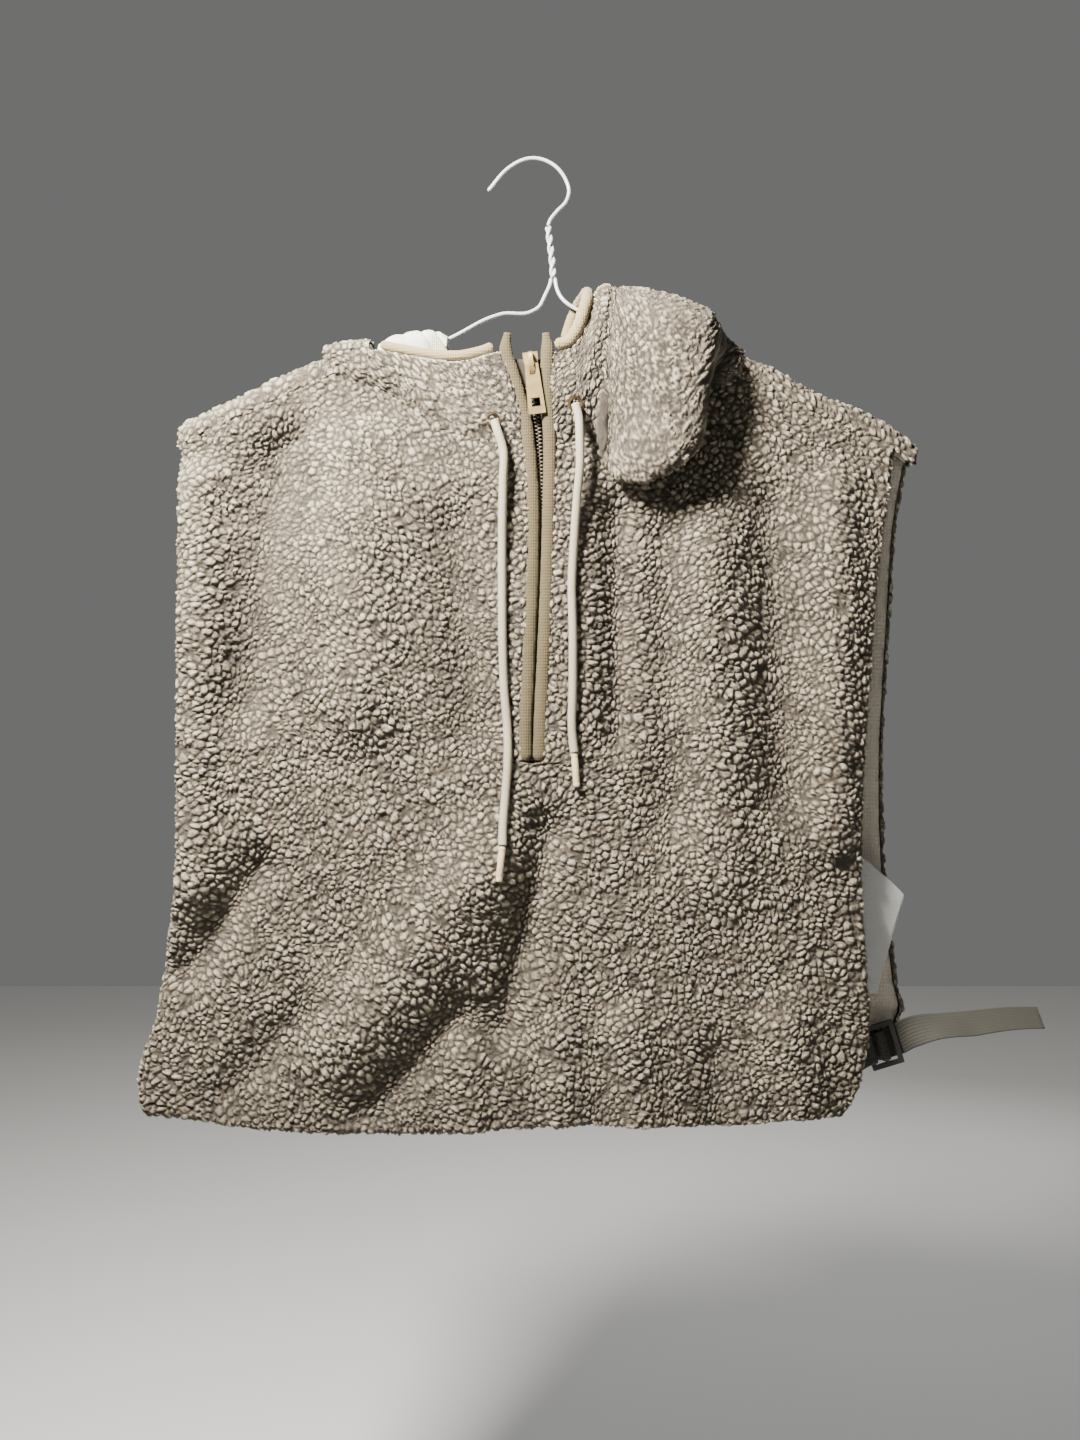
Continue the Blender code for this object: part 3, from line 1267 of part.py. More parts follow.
def build():
    clear_scene()
    fleece = look_of((0.62, 0.56, 0.49), 0.95)
    jersey = look_of((0.60, 0.53, 0.40), 0.9)
    smooth_lining = look_of((0.82, 0.80, 0.74), 0.8)
    tape = look_of((0.30, 0.26, 0.20), 0.9)
    champagne = look_of((0.62, 0.47, 0.27), 0.45, 0.6)
    bronze = look_of((0.45, 0.30, 0.16), 0.4, 0.9)
    ivory_cord = look_of((0.84, 0.81, 0.74), 0.8)
    tan_tip = look_of((0.56, 0.44, 0.27), 0.35)
    olive_webbing = look_of((0.24, 0.22, 0.18), 0.85)
    dark_plastic = look_of((0.06, 0.05, 0.04), 0.4)
    coated = look_of((0.85, 0.86, 0.88), 0.35)

    front_panel(fleece("front_panel"))
    back_panel(fleece("back_panel"))
    side_facing("side_facing_left", -1, jersey("side_facing_left"))
    side_facing("side_facing_right", 1, jersey("side_facing_right"))
    care_label(smooth_lining("care_label"))

    hood_left(fleece("hood_left"))
    hood_right(fleece("hood_right"))
    hood_back(fleece("hood_back"))
    hood_lining(smooth_lining("hood_lining"))
    hood_edge_left(jersey("hood_edge_left"))
    hood_edge_right(jersey("hood_edge_right"))
    hood_edge_back(jersey("hood_edge_back"))

    zip_binding("zip_binding_left", "left", jersey("zip_binding_left"))
    zip_binding("zip_binding_right", "right", jersey("zip_binding_right"))
    zip_tape(tape("zip_tape"))
    zip_slider(champagne("zip_slider"))
    zip_pull(champagne("zip_pull"))

    left_face = hood_left_grid()[0][:HOOD_LEFT_ROWS]
    right_face = hood_right_grid()[0][:HOOD_FRONT_ROWS, :12]
    eyelet("eyelet_left", left_face, EYELET_LEFT, bronze("eyelet_left"))
    eyelet("eyelet_right", right_face, EYELET_RIGHT, bronze("eyelet_right"))
    cord("cord_left", left_face, EYELET_LEFT, 1.0, CORD_LEFT_ROUTE, ivory_cord("cord_left"))
    cord("cord_right", right_face, EYELET_RIGHT, 0.4, CORD_RIGHT_ROUTE, ivory_cord("cord_right"))
    aglet("aglet_left", AGLET_LEFT_ROUTE, tan_tip("aglet_left"))
    aglet("aglet_right", AGLET_RIGHT_ROUTE, tan_tip("aglet_right"))

    buckle("buckle_left", FASTENING_LEFT, dark_plastic("buckle_left"))
    buckle("buckle_right", FASTENING_RIGHT, dark_plastic("buckle_right"))
    strap_loop("strap_loop_left", FASTENING_LEFT, olive_webbing("strap_loop_left"))
    strap_loop("strap_loop_right", FASTENING_RIGHT, olive_webbing("strap_loop_right"))
    strap_left(olive_webbing("strap_left"))
    strap_right(olive_webbing("strap_right"))

    hanger(coated)


build()
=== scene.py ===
# %% [markdown]
# # A fleece vest on a wire hanger
# This lesson dresses a plain solid model of a hooded, half-zip vest so that it looks like curly
# sherpa fleece. The solid model, called the frame, gives every piece its place and size. Each cell
# below makes one kind of piece, and says why it is made that way.

from collections import namedtuple

import bpy
import numpy as np
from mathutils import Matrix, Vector


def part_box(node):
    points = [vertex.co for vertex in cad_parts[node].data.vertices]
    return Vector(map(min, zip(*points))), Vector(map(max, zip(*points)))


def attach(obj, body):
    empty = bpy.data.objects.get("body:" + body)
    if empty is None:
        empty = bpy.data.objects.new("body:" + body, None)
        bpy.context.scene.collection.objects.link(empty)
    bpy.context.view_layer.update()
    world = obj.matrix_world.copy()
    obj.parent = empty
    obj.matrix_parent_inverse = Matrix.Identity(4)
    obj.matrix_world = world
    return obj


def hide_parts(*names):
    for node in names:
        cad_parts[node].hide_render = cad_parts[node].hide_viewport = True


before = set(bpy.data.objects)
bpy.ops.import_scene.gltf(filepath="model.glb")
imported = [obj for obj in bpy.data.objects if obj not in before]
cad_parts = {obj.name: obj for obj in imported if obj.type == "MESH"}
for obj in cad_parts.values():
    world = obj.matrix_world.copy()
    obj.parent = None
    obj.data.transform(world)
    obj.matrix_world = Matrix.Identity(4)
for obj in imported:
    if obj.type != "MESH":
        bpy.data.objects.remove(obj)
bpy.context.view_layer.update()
MM = 0.001

# %% [markdown]
# The camera comes first, because it decides how fine each piece has to be. It stands about a metre
# in front of the vest, level with its middle and square to it, as in the photograph.

# %% Camera
CAMERA_PLACE = Vector((0.0068, -1.010, -0.381))
FRAME_HALF_HEIGHT_PER_DEPTH = 0.485


def make_camera():
    """The lens follows from half the picture's height at a depth of 1."""
    data = bpy.data.cameras.new("camera")
    data.sensor_fit = "AUTO"
    data.sensor_width = 36.0
    data.lens = data.sensor_width / (2 * FRAME_HALF_HEIGHT_PER_DEPTH)
    camera = bpy.data.objects.new("camera", data)
    camera.location = CAMERA_PLACE
    camera.rotation_euler = (np.pi / 2, 0.0, 0.0)
    bpy.context.scene.collection.objects.link(camera)
    bpy.context.scene.camera = camera
    return camera


camera = make_camera()
print("lens", round(camera.data.lens, 2))

# %% [markdown]
# All the cloth follows smooth surfaces that are worked out from short tables of sizes in
# millimetres. They are close to the solid model's, but the front's folds are deeper here, because
# pile evens folds out. `through` draws a smooth curve through a table's rows, and `column` reads
# one of its columns anywhere along it.

# %% Curves through tables
FLEECE = 6.0
HOOD_FLEECE = 5.0
RIM = 1.0
GAP = 0.3
SEAM = 2 * RIM + GAP
NECK_EASE = 0.7
EDGE_INSET = 3.0
PANEL_MIDDLE_X = 5.0
FRONT_LEFT_X = -224.0
FRONT_RIGHT_X = 235.0
SLIT_LEFT_X = -8.0
SLIT_RIGHT_X = 18.0
BACK_LEFT_X = -226.0
BACK_RIGHT_X = 249.0
SHOULDER_Y = -33.0
SHOULDER_RADIUS = 9.0
FRONT_RISE = 15.0
FRONT_RISE_DROP = 130.0
SHOULDER_SLOPE = 0.52
NECK_APEX_Z = -92.0
SIDE_TURN = 7.0
BACK_Y = -24.0
BACK_TUCK = 4.0
ZIP_END_Z = -409.0
ZIP_Y = -58.5
BINDING_WIDTH = 8.0
BINDING_DEPTH = 6.0
CORD = 5.5
CORD_TIP = 4.4
HOOD_OUTER_Y = -1.0
HOOD_EASE = 1.6

Edge = namedtuple("Edge", "z left right")
Line = namedtuple("Line", "x z")
Fold = namedtuple("Fold", "x0 z0 x1 z1 half_width out")
Station = namedtuple("Station", "name x_low z_low x_high z_high y_front y_top")
Zip = namedtuple("Zip", "z left right")


def smoothstep(low, high, value):
    """0 below low, 1 above high, and a smooth climb between."""
    t = np.clip((value - low) / (high - low), 0.0, 1.0)
    return t * t * (3.0 - 2.0 * t)


def through(xs, ys, x):
    """A smooth curve through the points (xs, ys), whose slope at each is that of its neighbours."""
    xs = np.asarray(xs, float)
    ys = np.asarray(ys, float)
    x = np.clip(np.asarray(x, float), xs[0], xs[-1])
    slopes = np.gradient(ys, xs)
    i = np.clip(np.searchsorted(xs, x, side="right") - 1, 0, len(xs) - 2)
    step = xs[i + 1] - xs[i]
    t = (x - xs[i]) / step
    rise = ys[i + 1] - ys[i]
    bend = (1 - t) * (slopes[i] * step - rise) - t * (slopes[i + 1] * step - rise)
    return ys[i] + rise * t + t * (1 - t) * bend


def column(table, name, by, at):
    """The named column of a table, read as a smooth curve over the column called by."""
    return through([getattr(row, by) for row in table], [getattr(row, name) for row in table], at)


def route(points, count):
    """A smooth path through given points, as count points evenly spaced along it."""
    points = np.asarray(points, float)
    run = np.concatenate([[0.0], np.cumsum(np.linalg.norm(np.diff(points, axis=0), axis=1))])
    fine = np.linspace(0.0, run[-1], 12 * len(points))
    curve = np.stack([through(run, points[:, k], fine) for k in range(3)], axis=1)
    length = np.concatenate([[0.0], np.cumsum(np.linalg.norm(np.diff(curve, axis=0), axis=1))])
    even = np.linspace(0.0, length[-1], count)
    return np.stack([np.interp(even, length, curve[:, k]) for k in range(3)], axis=1)


print("curve at 1.5:", float(through([0, 1, 2, 3], [0, 1, 4, 9], 1.5)))

# %% [markdown]
# These tables hold the vest's outline, its folds, the hood's shape and the routes of the cords,
# straps and wires. A fold is a line across the cloth, with a width and how far it stands out.

# %% Tables of the vest's shape
FRONT_EDGES = [
    Edge(-640, -247.0, 199.0),
    Edge(-625, -251.5, 209.0),
    Edge(-600, -249.5, 216.0),
    Edge(-574, -240.6, 219.0),
    Edge(-545, -236.0, 217.5),
    Edge(-520, -233.0, 216.0),
    Edge(-490, -227.3, 214.0),
    Edge(-434, -226.0, 214.6),
    Edge(-365, -225.0, 218.5),
    Edge(-295, -226.0, 224.4),
    Edge(-232, -226.5, 234.0),
    Edge(-190, -227.0, 238.5),
]

BACK_EDGES = [
    Edge(-634, -226.0, 206.0),
    Edge(-600, -232.0, 226.0),
    Edge(-576, -230.0, 247.0),
    Edge(-554, -228.0, 244.0),
    Edge(-469, -222.0, 236.0),
    Edge(-398, -221.0, 235.3),
    Edge(-345, -221.0, 238.0),
    Edge(-303, -222.0, 240.6),
    Edge(-250, -224.0, 244.0),
    Edge(-199, -227.0, 252.0),
]

# The outline of the shoulders, along the top of the fold.
SHOULDER_LINE = [
    Line(-228, -187),
    Line(-189, -168),
    Line(-150, -150),
    Line(-128, -141),
    Line(137, -141),
    Line(148, -145),
    Line(186, -166),
    Line(211, -176),
    Line(236, -188),
    Line(253, -201),
]

FRONT_NECK = [
    Line(-129, -158),
    Line(-112, -163),
    Line(-89, -173),
    Line(-63, -193),
    Line(-38, -202),
    Line(-11, -205),
    Line(20, -205),
    Line(45, -205),
    Line(84, -192),
    Line(115, -169),
    Line(138, -158),
]

BACK_NECK = [
    Line(-129, -151),
    Line(-90, -163),
    Line(-40, -172),
    Line(5, -174),
    Line(50, -172),
    Line(100, -163),
    Line(138, -151),
]

HEM = [
    Line(-248, -636),
    Line(-209, -637),
    Line(-173, -642),
    Line(-122, -646),
    Line(-19, -643),
    Line(47, -640),
    Line(178, -640),
    Line(200, -637),
]

BACK_HEM_Z = -634.0

ZIP = [
    Zip(-409, -2.8, 6.4),
    Zip(-390, -2.4, 6.6),
    Zip(-340, -0.2, 8.9),
    Zip(-279, 2.2, 11.4),
    Zip(-240, 2.3, 12.4),
    Zip(-205, -0.2, 12.8),
    Zip(-192, -1.8, 12.4),
    Zip(-175, -5.9, 11.3),
    Zip(-159, -10.4, 10.8),
    Zip(-143, -14.9, 11.3),
    Zip(-133, -13.8, 10.2),
]

# Soft troughs (out below zero) and ridges (out above zero) of the front, each along a line.
FRONT_FOLDS = [
    Fold(-160, -180, -186, -380, 20, -9.0),    # trough from the left shoulder
    Fold(-112, -186, -106, -390, 25, 8.2),     # chest ridge beside it
    Fold(-215, -212, -215, -500, 15, 8.0),     # left side ridge
    Fold(-52, -240, -34, -400, 20, -7.0),      # dent over the waist
    Fold(-10, -455, -128, -600, 27, 8.6),      # long ridge to the lower left
    Fold(-36, -560, -112, -640, 16, -6.0),     # hollow under that ridge
    Fold(-168, -465, -226, -550, 14, -7.6),    # crease above the flared corner
    Fold(12, -440, -20, -590, 14, -8.2),       # trough below the zip
    Fold(54, -236, 56, -400, 12, -7.0),        # trough below the hood's valley
    Fold(84, -245, 92, -450, 18, -5.0),        # right chest trough
    Fold(114, -250, 122, -500, 22, 5.6),       # right chest ridge
    Fold(152, -225, 164, -440, 18, -6.2),      # trough by the right armhole
    Fold(200, -215, 196, -470, 15, 5.6),       # right side ridge
    Fold(-45, -585, -38, -650, 12, 4.6),       # waves at the hem
    Fold(18, -575, 20, -650, 12, 4.6),
    Fold(62, -565, 72, -650, 14, 5.0),
    Fold(162, -560, 176, -650, 18, 6.0),
    Fold(118, -585, 120, -650, 13, -4.7),
    Fold(-104, -158, -58, -190, 9, -4.4),      # crease under the hood's left end
    Fold(-136, -560, -205, -632, 16, -4.2),    # slack above the hem's left corner
]

BACK_FOLDS = [
    Fold(-140, -350, -170, -560, 22, 5.4),
    Fold(-60, -380, -85, -640, 24, -5.4),
    Fold(20, -380, 40, -640, 26, 5.4),
    Fold(110, -200, 150, -430, 20, -5.4),
    Fold(165, -420, 130, -640, 20, 5.4),
]

# Upright stations of the hood's right side, from the zip round the roll to the shoulder.
HOOD_STATIONS = [
    Station("zip", 18.5, -203, 17.0, -146, -59, -58),
    Station("under_binding", 28.0, -203, 31.0, -139, -62, -58),
    Station("loop", 37.0, -205, 46.0, -106, -63, -48),
    Station("valley", 47.0, -212, 54.0, -104, -63, -46),
    Station("slope", 60.0, -227, 68.0, -104, -71, -47),
    Station("crest", 82.0, -226, 90.0, -109, -81, -50),
    Station("fold", 101.0, -212, 112.0, -117, -81, -50),
    Station("turn", 105.0, -203, 117.5, -121, -74, -46),
    Station("under", 98.0, -192, 120.5, -125, -66, -42),
    Station("return", 104.0, -184, 123.5, -129, -58, -39),
    Station("second", 118.0, -167, 130.0, -135, -52, -36),
    Station("shoulder", 134.0, -152, 139.0, -141, -46, -34),
]

# The top of the hood's left stretch, where its binding is sewn on.
HOOD_LEFT_TOP = [
    Line(-131, -143),
    Line(-115, -141),
    Line(-98, -141.6),
    Line(-68, -148),
    Line(-50, -150.6),
    Line(-35, -149.3),
    Line(-25, -146.8),
    Line(-17, -145),
]

# The face edge of the hood where it hangs behind, from left to right.
HOOD_BACK_TOP = [
    Line(-128, -147),
    Line(-112, -146),
    Line(-98, -150),
    Line(-88, -157),
    Line(-60, -166),
    Line(0, -168),
    Line(28, -160),
    Line(42, -142),
    Line(50, -134),
]

# The top of the lining where it is wrapped over the hanger's left arm.
LINING_TOP = [
    Line(-99.5, -133),
    Line(-90, -128.5),
    Line(-76, -124.6),
    Line(-67, -123.7),
    Line(-59, -123.2),
    Line(-54, -124.0),
]

# Routes are rows of x, y, z.
HOOK_ROUTE = [
    (-28.6, 0.0, -21.1),
    (-14.3, 0.0, -5.2),
    (-5.5, 0.0, -0.2),
    (0.0, 0.0, 1.2),
    (7.5, 0.0, 0.6),
    (17.7, -0.5, -4.8),
    (24.5, -1.2, -14.3),
    (26.5, -2.0, -21.8),
    (24.5, -2.8, -29.3),
    (18.4, -3.6, -36.1),
    (13.7, -4.4, -42.4),
    (12.2, -5.1, -46.6),
]

NECK_ROUTE = [
    (12.3, -5.3, -47.2),
    (13.6, -7.6, -59.7),
    (14.9, -10.0, -71.2),
    (15.6, -12.2, -83.3),
]

ARM_LEFT_ROUTE = [
    (14.2, -12.3, -84.0),
    (13.9, -12.9, -86.6),
    (10.2, -15.0, -96.4),
    (5.5, -16.5, -105.1),
    (0.0, -17.0, -108.3),
    (-18.6, -18.5, -109.8),
    (-27.0, -19.5, -112.8),
    (-50.6, -21.0, -125.5),
    (-100.0, -27.0, -146.5),
]

ARM_RIGHT_ROUTE = [
    (17.0, -12.3, -84.0),
    (17.2, -12.9, -86.6),
    (18.2, -14.2, -92.0),
    (22.2, -16.5, -99.7),
    (28.2, -18.0, -104.9),
    (34.0, -18.7, -108.2),
    (45.0, -20.0, -113.2),
    (100.0, -27.0, -138.0),
]

ARM_LEFT_END = [
    (-184.5, -33.0, -179.0),
    (-189.0, -33.1, -184.0),
    (-189.3, -33.2, -186.9),
]

ARM_RIGHT_END = [
    (205.0, -33.0, -185.5),
    (210.7, -33.1, -191.4),
    (211.0, -33.2, -194.4),
]

BAR_ROUTE = [
    (-189.3, -33.2, -187.6),
    (-189.0, -33.1, -190.2),
    (-186.3, -33.0, -192.0),
    (-179.0, -32.6, -192.6),
    (-150.0, -30.0, -194.0),
    (10.0, -29.6, -197.0),
    (172.0, -30.0, -200.5),
    (202.0, -32.8, -201.4),
    (208.0, -33.0, -200.6),
    (210.7, -33.1, -197.8),
    (211.0, -33.2, -195.1),
]

HOOD_LOOP_ROUTE = [
    (16.6, -58.5, -140.8),
    (25.0, -59.5, -138.5),
    (31.0, -60.0, -130.0),
    (34.6, -58.0, -119.0),
    (37.0, -52.0, -110.0),
    (37.6, -43.0, -103.6),
    (37.2, -33.0, -100.6),
    (36.0, -22.0, -99.8),
    (32.8, -12.5, -102.2),
    (28.0, -8.5, -112.5),
    (24.0, -7.5, -125.0),
]

# Points of a cord: x, z and how far its back stands in front of the front panel's face.
CORD_LEFT_ROUTE = [
    (-20.6, -196.0, 6.4),
    (-16.6, -209.0, 5.4),
    (-16.7, -229.4, 3.8),
    (-17.3, -263.0, 1.8),
    (-17.3, -297.3, 1.2),
    (-17.0, -334.7, 1.2),
    (-16.0, -362.0, 1.2),
    (-14.1, -385.0, 1.2),
    (-13.7, -406.0, 1.2),
    (-15.4, -431.2, 1.2),
    (-16.7, -447.0, 1.2),
    (-16.9, -460.5, 1.2),
]

CORD_RIGHT_ROUTE = [
    (31.2, -188.0, 11.8),
    (32.0, -202.0, 11.0),
    (32.2, -217.9, 8.8),
    (30.3, -240.8, 4.6),
    (28.4, -268.7, 2.2),
    (27.1, -297.3, 1.2),
    (27.7, -320.7, 1.2),
    (27.7, -362.0, 1.2),
    (27.3, -388.0, 1.2),
    (28.7, -401.7, 1.2),
]

AGLET_LEFT_ROUTE = [(-16.9, -461.0, 1.7), (-19.2, -483.2, 1.8)]
AGLET_RIGHT_ROUTE = [(28.7, -402.0, 1.7), (30.3, -423.6, 1.7)]

# A buckle's place: x and z of its middle, which way its tail goes, the strap's slope in degrees,
# and how far forward the inside of the front panel is where the loop is sewn to it.
Fastening = namedtuple("Fastening", "x z side slope front_y")
FASTENING_LEFT = Fastening(-206.0, -600.0, -1, 6.0, -52.2)
FASTENING_RIGHT = Fastening(233.9, -594.1, 1, 17.0, -47.0)

# Routes of the webbing at a buckle, as rows of u (along the strap) and y.
LOOP_ROUTE = [
    (-30.0, -46.8),
    (-24.0, -44.0),
    (-17.0, -38.4),
    (-13.0, -36.5),
    (-10.6, -36.4),
    (-9.0, -36.2),
    (-8.4, -34.0),
    (-9.0, -31.8),
    (-10.6, -31.6),
    (-13.6, -32.0),
    (-19.0, -35.6),
    (-25.0, -41.0),
    (-30.0, -44.4),
]

STRAP_ROUTE = [
    (3.0, -24.1),
    (-3.0, -24.2),
    (-6.8, -25.6),
    (-7.6, -28.2),
    (-6.2, -30.6),
    (-4.9, -32.2),
    (-4.5, -34.0),
    (-4.2, -35.8),
    (-3.0, -36.4),
    (-1.0, -36.4),
    (0.2, -35.8),
    (0.5, -34.0),
    (0.9, -32.2),
    (2.4, -31.6),
    (6.0, -31.6),
    (10.0, -31.6),
]

# The free end of the right strap: x, y, z and how far it is twisted, in degrees.
Tail = namedtuple("Tail", "x y z twist")
RIGHT_TAIL = [
    Tail(249.0, -31.6, -587.8, 10.0),
    Tail(258.0, -32.0, -584.6, 30.0),
    Tail(268.0, -32.6, -582.6, 44.0),
    Tail(279.0, -33.0, -581.4, 47.0),
    Tail(290.0, -33.2, -580.6, 46.0),
    Tail(301.0, -33.4, -579.0, 50.0),
    Tail(312.0, -33.6, -577.6, 52.0),
    Tail(324.0, -33.8, -576.8, 54.0),
    Tail(336.0, -34.0, -576.6, 55.0),
]

# The free end of the left strap, tucked back inside the front: rows of u and y.
LEFT_TAIL = [
    (18.0, -31.8),
    (27.0, -33.0),
    (31.0, -35.6),
    (30.5, -39.0),
    (26.0, -41.0),
    (14.0, -42.4),
    (2.0, -43.0),
    (-10.0, -43.4),
]

# How much deeper the cloth under the pile folds than the depths in the table say.
DEEPER = 1.35
FRONT_FOLDS = [fold._replace(out=fold.out * DEEPER) for fold in FRONT_FOLDS]
print("folds on the front:", len(FRONT_FOLDS))

# %% [markdown]
# `front_surface` and `back_surface` turn a place on the cloth into a point in space, folds and all.
# The hood's grids do the same for its parts. Their rows and columns are much finer than the solid
# model's, so that the cloth looks smooth.

# %% Folds and panels


def folds(x, z, table):
    """How far the cloth stands out at (x, z): a bell across each fold's line, faded at its ends."""
    total = np.zeros(np.broadcast(x, z).shape)
    for fold in table:
        run = np.array([fold.x1 - fold.x0, fold.z1 - fold.z0])
        length = np.hypot(*run)
        along = ((x - fold.x0) * run[0] + (z - fold.z0) * run[1]) / length
        across = ((x - fold.x0) * run[1] - (z - fold.z0) * run[0]) / length
        fade = smoothstep(-fold.half_width, fold.half_width, along)
        fade = fade * smoothstep(-fold.half_width, fold.half_width, length - along)
        total = total + fold.out * fade * np.exp(-(across / fold.half_width) ** 2)
    return total


def shoulder_z(x):
    """The centre of the fold over the shoulders, inside its outline."""
    return column(SHOULDER_LINE, "z", "x", x) - SHOULDER_RADIUS - FLEECE / 2 - 1.0


def front_depth(x, z):
    """How far in front of y = 0 the middle of the front cloth lies, without its folds."""
    slope_z = NECK_APEX_Z - SHOULDER_SLOPE * np.abs(x - PANEL_MIDDLE_X)
    rise = FRONT_RISE * smoothstep(0.0, FRONT_RISE_DROP, slope_z - z)
    below_shoulder = smoothstep(15.0, 90.0, slope_z - z)
    half = 0.5 * (column(FRONT_EDGES, "right", "z", z) - column(FRONT_EDGES, "left", "z", z))
    centre = 0.5 * (column(FRONT_EDGES, "right", "z", z) + column(FRONT_EDGES, "left", "z", z))
    turn = SIDE_TURN * below_shoulder * np.abs((x - centre) / half) ** 6
    return SHOULDER_RADIUS - SHOULDER_Y + rise - turn


def front_top(x):
    """The upper edge of the front panel: the shoulder seams and the front of the neck seam."""
    neck = column(FRONT_NECK, "z", "x", x)
    in_neck = (x > FRONT_NECK[0].x) & (x < FRONT_NECK[-1].x)
    return np.where(in_neck, neck, shoulder_z(x) - 3.0) - SEAM / 2


def front_surface(x, z):
    """The middle surface of the front panel, folds and all."""
    below_seam = smoothstep(2.0, 34.0, front_top(x) - z)
    y = -front_depth(x, z) - folds(x, z, FRONT_FOLDS) * below_seam
    return np.stack([x, y, z], axis=-1)


def back_surface(x, z):
    """The middle surface of the back panel below the shoulder fold."""
    down = smoothstep(0.0, 90.0, shoulder_z(x) - z)
    y = BACK_Y + BACK_TUCK * down + folds(x, z, BACK_FOLDS) * down
    return np.stack([x, y, z], axis=-1)


def grid_normals(mid):
    """Unit normals of a grid surface, from its slopes along the rows and the columns."""
    down = np.gradient(mid, axis=0)
    across = np.gradient(mid, axis=1)
    normal = np.cross(down, across)
    return normal / np.maximum(np.linalg.norm(normal, axis=-1, keepdims=True), 1e-9)


# %% Surfaces of the cloth
FRONT_COLUMNS = 12


def front_top_row():
    """The first row of the solid's front panel, whose straight steps the hood is sewn to."""
    share = np.linspace(0.0, 1.0, FRONT_COLUMNS)
    left_x = FRONT_LEFT_X + share * (SLIT_LEFT_X - FRONT_LEFT_X)
    right_x = SLIT_RIGHT_X + share * (FRONT_RIGHT_X - SLIT_RIGHT_X)
    first_x = np.concatenate([left_x, right_x])
    z = front_top(first_x)
    left = column(FRONT_EDGES, "left", "z", z[:1]) + EDGE_INSET
    right = column(FRONT_EDGES, "right", "z", z[-1:]) - EDGE_INSET
    left_lip, right_lip = lips(z[FRONT_COLUMNS:FRONT_COLUMNS + 1])
    x = np.concatenate([left + (left_lip - left) * share, right_lip + (right - right_lip) * share])
    return front_surface(x, z)


def lips(z):
    """X of the two cloth edges of the zip's slit, just outside the bindings."""
    reach = BINDING_WIDTH / 2 + GAP + RIM
    return column(ZIP, "left", "z", z) - reach, column(ZIP, "right", "z", z) + reach


def neck_seam(x):
    """Y and Z of the hood's lower edge at x, just above the front panel's top row."""
    top = front_top_row()
    slope = np.interp(x, top[:, 0], np.gradient(top[:, 2], top[:, 0]))
    seam_z = np.interp(x, top[:, 0], top[:, 2]) + (SEAM + NECK_EASE) * np.hypot(1.0, slope)
    return np.interp(x, top[:, 0], top[:, 1]), seam_z


def front_half(side, rows, columns):
    """The front's middle surface on one side, from the side edge to the zip.

    Below the zip it goes on to the middle of the slit, where the two halves meet.
    """
    share = np.linspace(0.0, 1.0, columns)
    if side == "left":
        first_x = FRONT_LEFT_X + share * (SLIT_LEFT_X - FRONT_LEFT_X)
    else:
        first_x = FRONT_RIGHT_X - share * (FRONT_RIGHT_X - SLIT_RIGHT_X)
    top = front_top(first_x)
    bottom = column(HEM, "z", "x", first_x) + EDGE_INSET
    z = top + (bottom - top) * np.linspace(0.0, 1.0, rows)[:, None]
    inset = EDGE_INSET if side == "left" else -EDGE_INSET
    edge = column(FRONT_EDGES, side, "z", z[:, :1]) + inset
    lip = lips(z[:, -1:])[0 if side == "left" else 1]
    middle = 0.5 * (lips(z[:, -1:])[0] + lips(z[:, -1:])[1])
    inner = lip + (middle - lip) * smoothstep(-1.0, 0.6, ZIP_END_Z - z[:, -1:])
    x = edge + (inner - edge) * share
    return front_surface(x, z)


def back_grid(rows, columns):
    """The back's middle surface: a roll over each shoulder, then down to the hem."""
    share = np.linspace(0.0, 1.0, columns)
    first_x = BACK_LEFT_X + share * (BACK_RIGHT_X - BACK_LEFT_X)
    in_neck = (first_x > FRONT_NECK[0].x) & (first_x < FRONT_NECK[-1].x)
    fold_z = shoulder_z(first_x)
    top = np.where(in_neck, column(BACK_NECK, "z", "x", first_x), fold_z)
    z = top + (BACK_HEM_Z - top) * np.linspace(0.0, 1.0, rows)[:, None]
    left = column(BACK_EDGES, "left", "z", z[:, :1]) + EDGE_INSET
    right = column(BACK_EDGES, "right", "z", z[:, -1:]) - EDGE_INSET
    return back_surface(left + (right - left) * share, z)


def shoulder_grid(x_from, x_to, rows, columns):
    """The back's roll over one shoulder, from the front seam over the fold to the back."""
    x = np.linspace(x_from, x_to, columns)
    fold_z = shoulder_z(x)
    angle = np.linspace(-0.10, np.pi, rows)[:, None]
    y = np.broadcast_to(SHOULDER_Y - SHOULDER_RADIUS * np.cos(angle), (rows, columns))
    z = fold_z + SHOULDER_RADIUS * np.sin(angle)
    return np.stack([np.broadcast_to(x, y.shape), y, z], axis=-1)


def hood_left_grid(x, rows, roll_rows):
    """The hood's left stretch, as columns up from the neck seam, then over to the back."""
    seam_y, low = neck_seam(x)
    high = column(HOOD_LEFT_TOP, "z", "x", x)
    rise = np.linspace(0.0, 1.0, rows)[:, None]
    z = low + (high - low) * rise
    swell = np.sin(np.pi * 0.85 * rise) ** 0.8
    y = seam_y - 4.5 * swell * smoothstep(-134, -105, x)
    lip = column(ZIP, "left", "z", z) - BINDING_WIDTH / 2 - GAP - RIM
    lean = smoothstep(-60, -17, x) * (lip + 17.0)
    front = np.stack([x + lean, y, z], axis=-1)
    angle = np.linspace(0.0, np.pi, roll_rows + 1)[1:, None]
    reach = (HOOD_OUTER_Y - y[-1]) / 2
    roll_y = y[-1] + reach * (1 - np.cos(angle))
    roll_z = high + 7.0 * np.sin(angle)
    roll = np.stack([np.broadcast_to(x, roll_y.shape), roll_y, roll_z], axis=-1)
    return np.concatenate([front, roll])


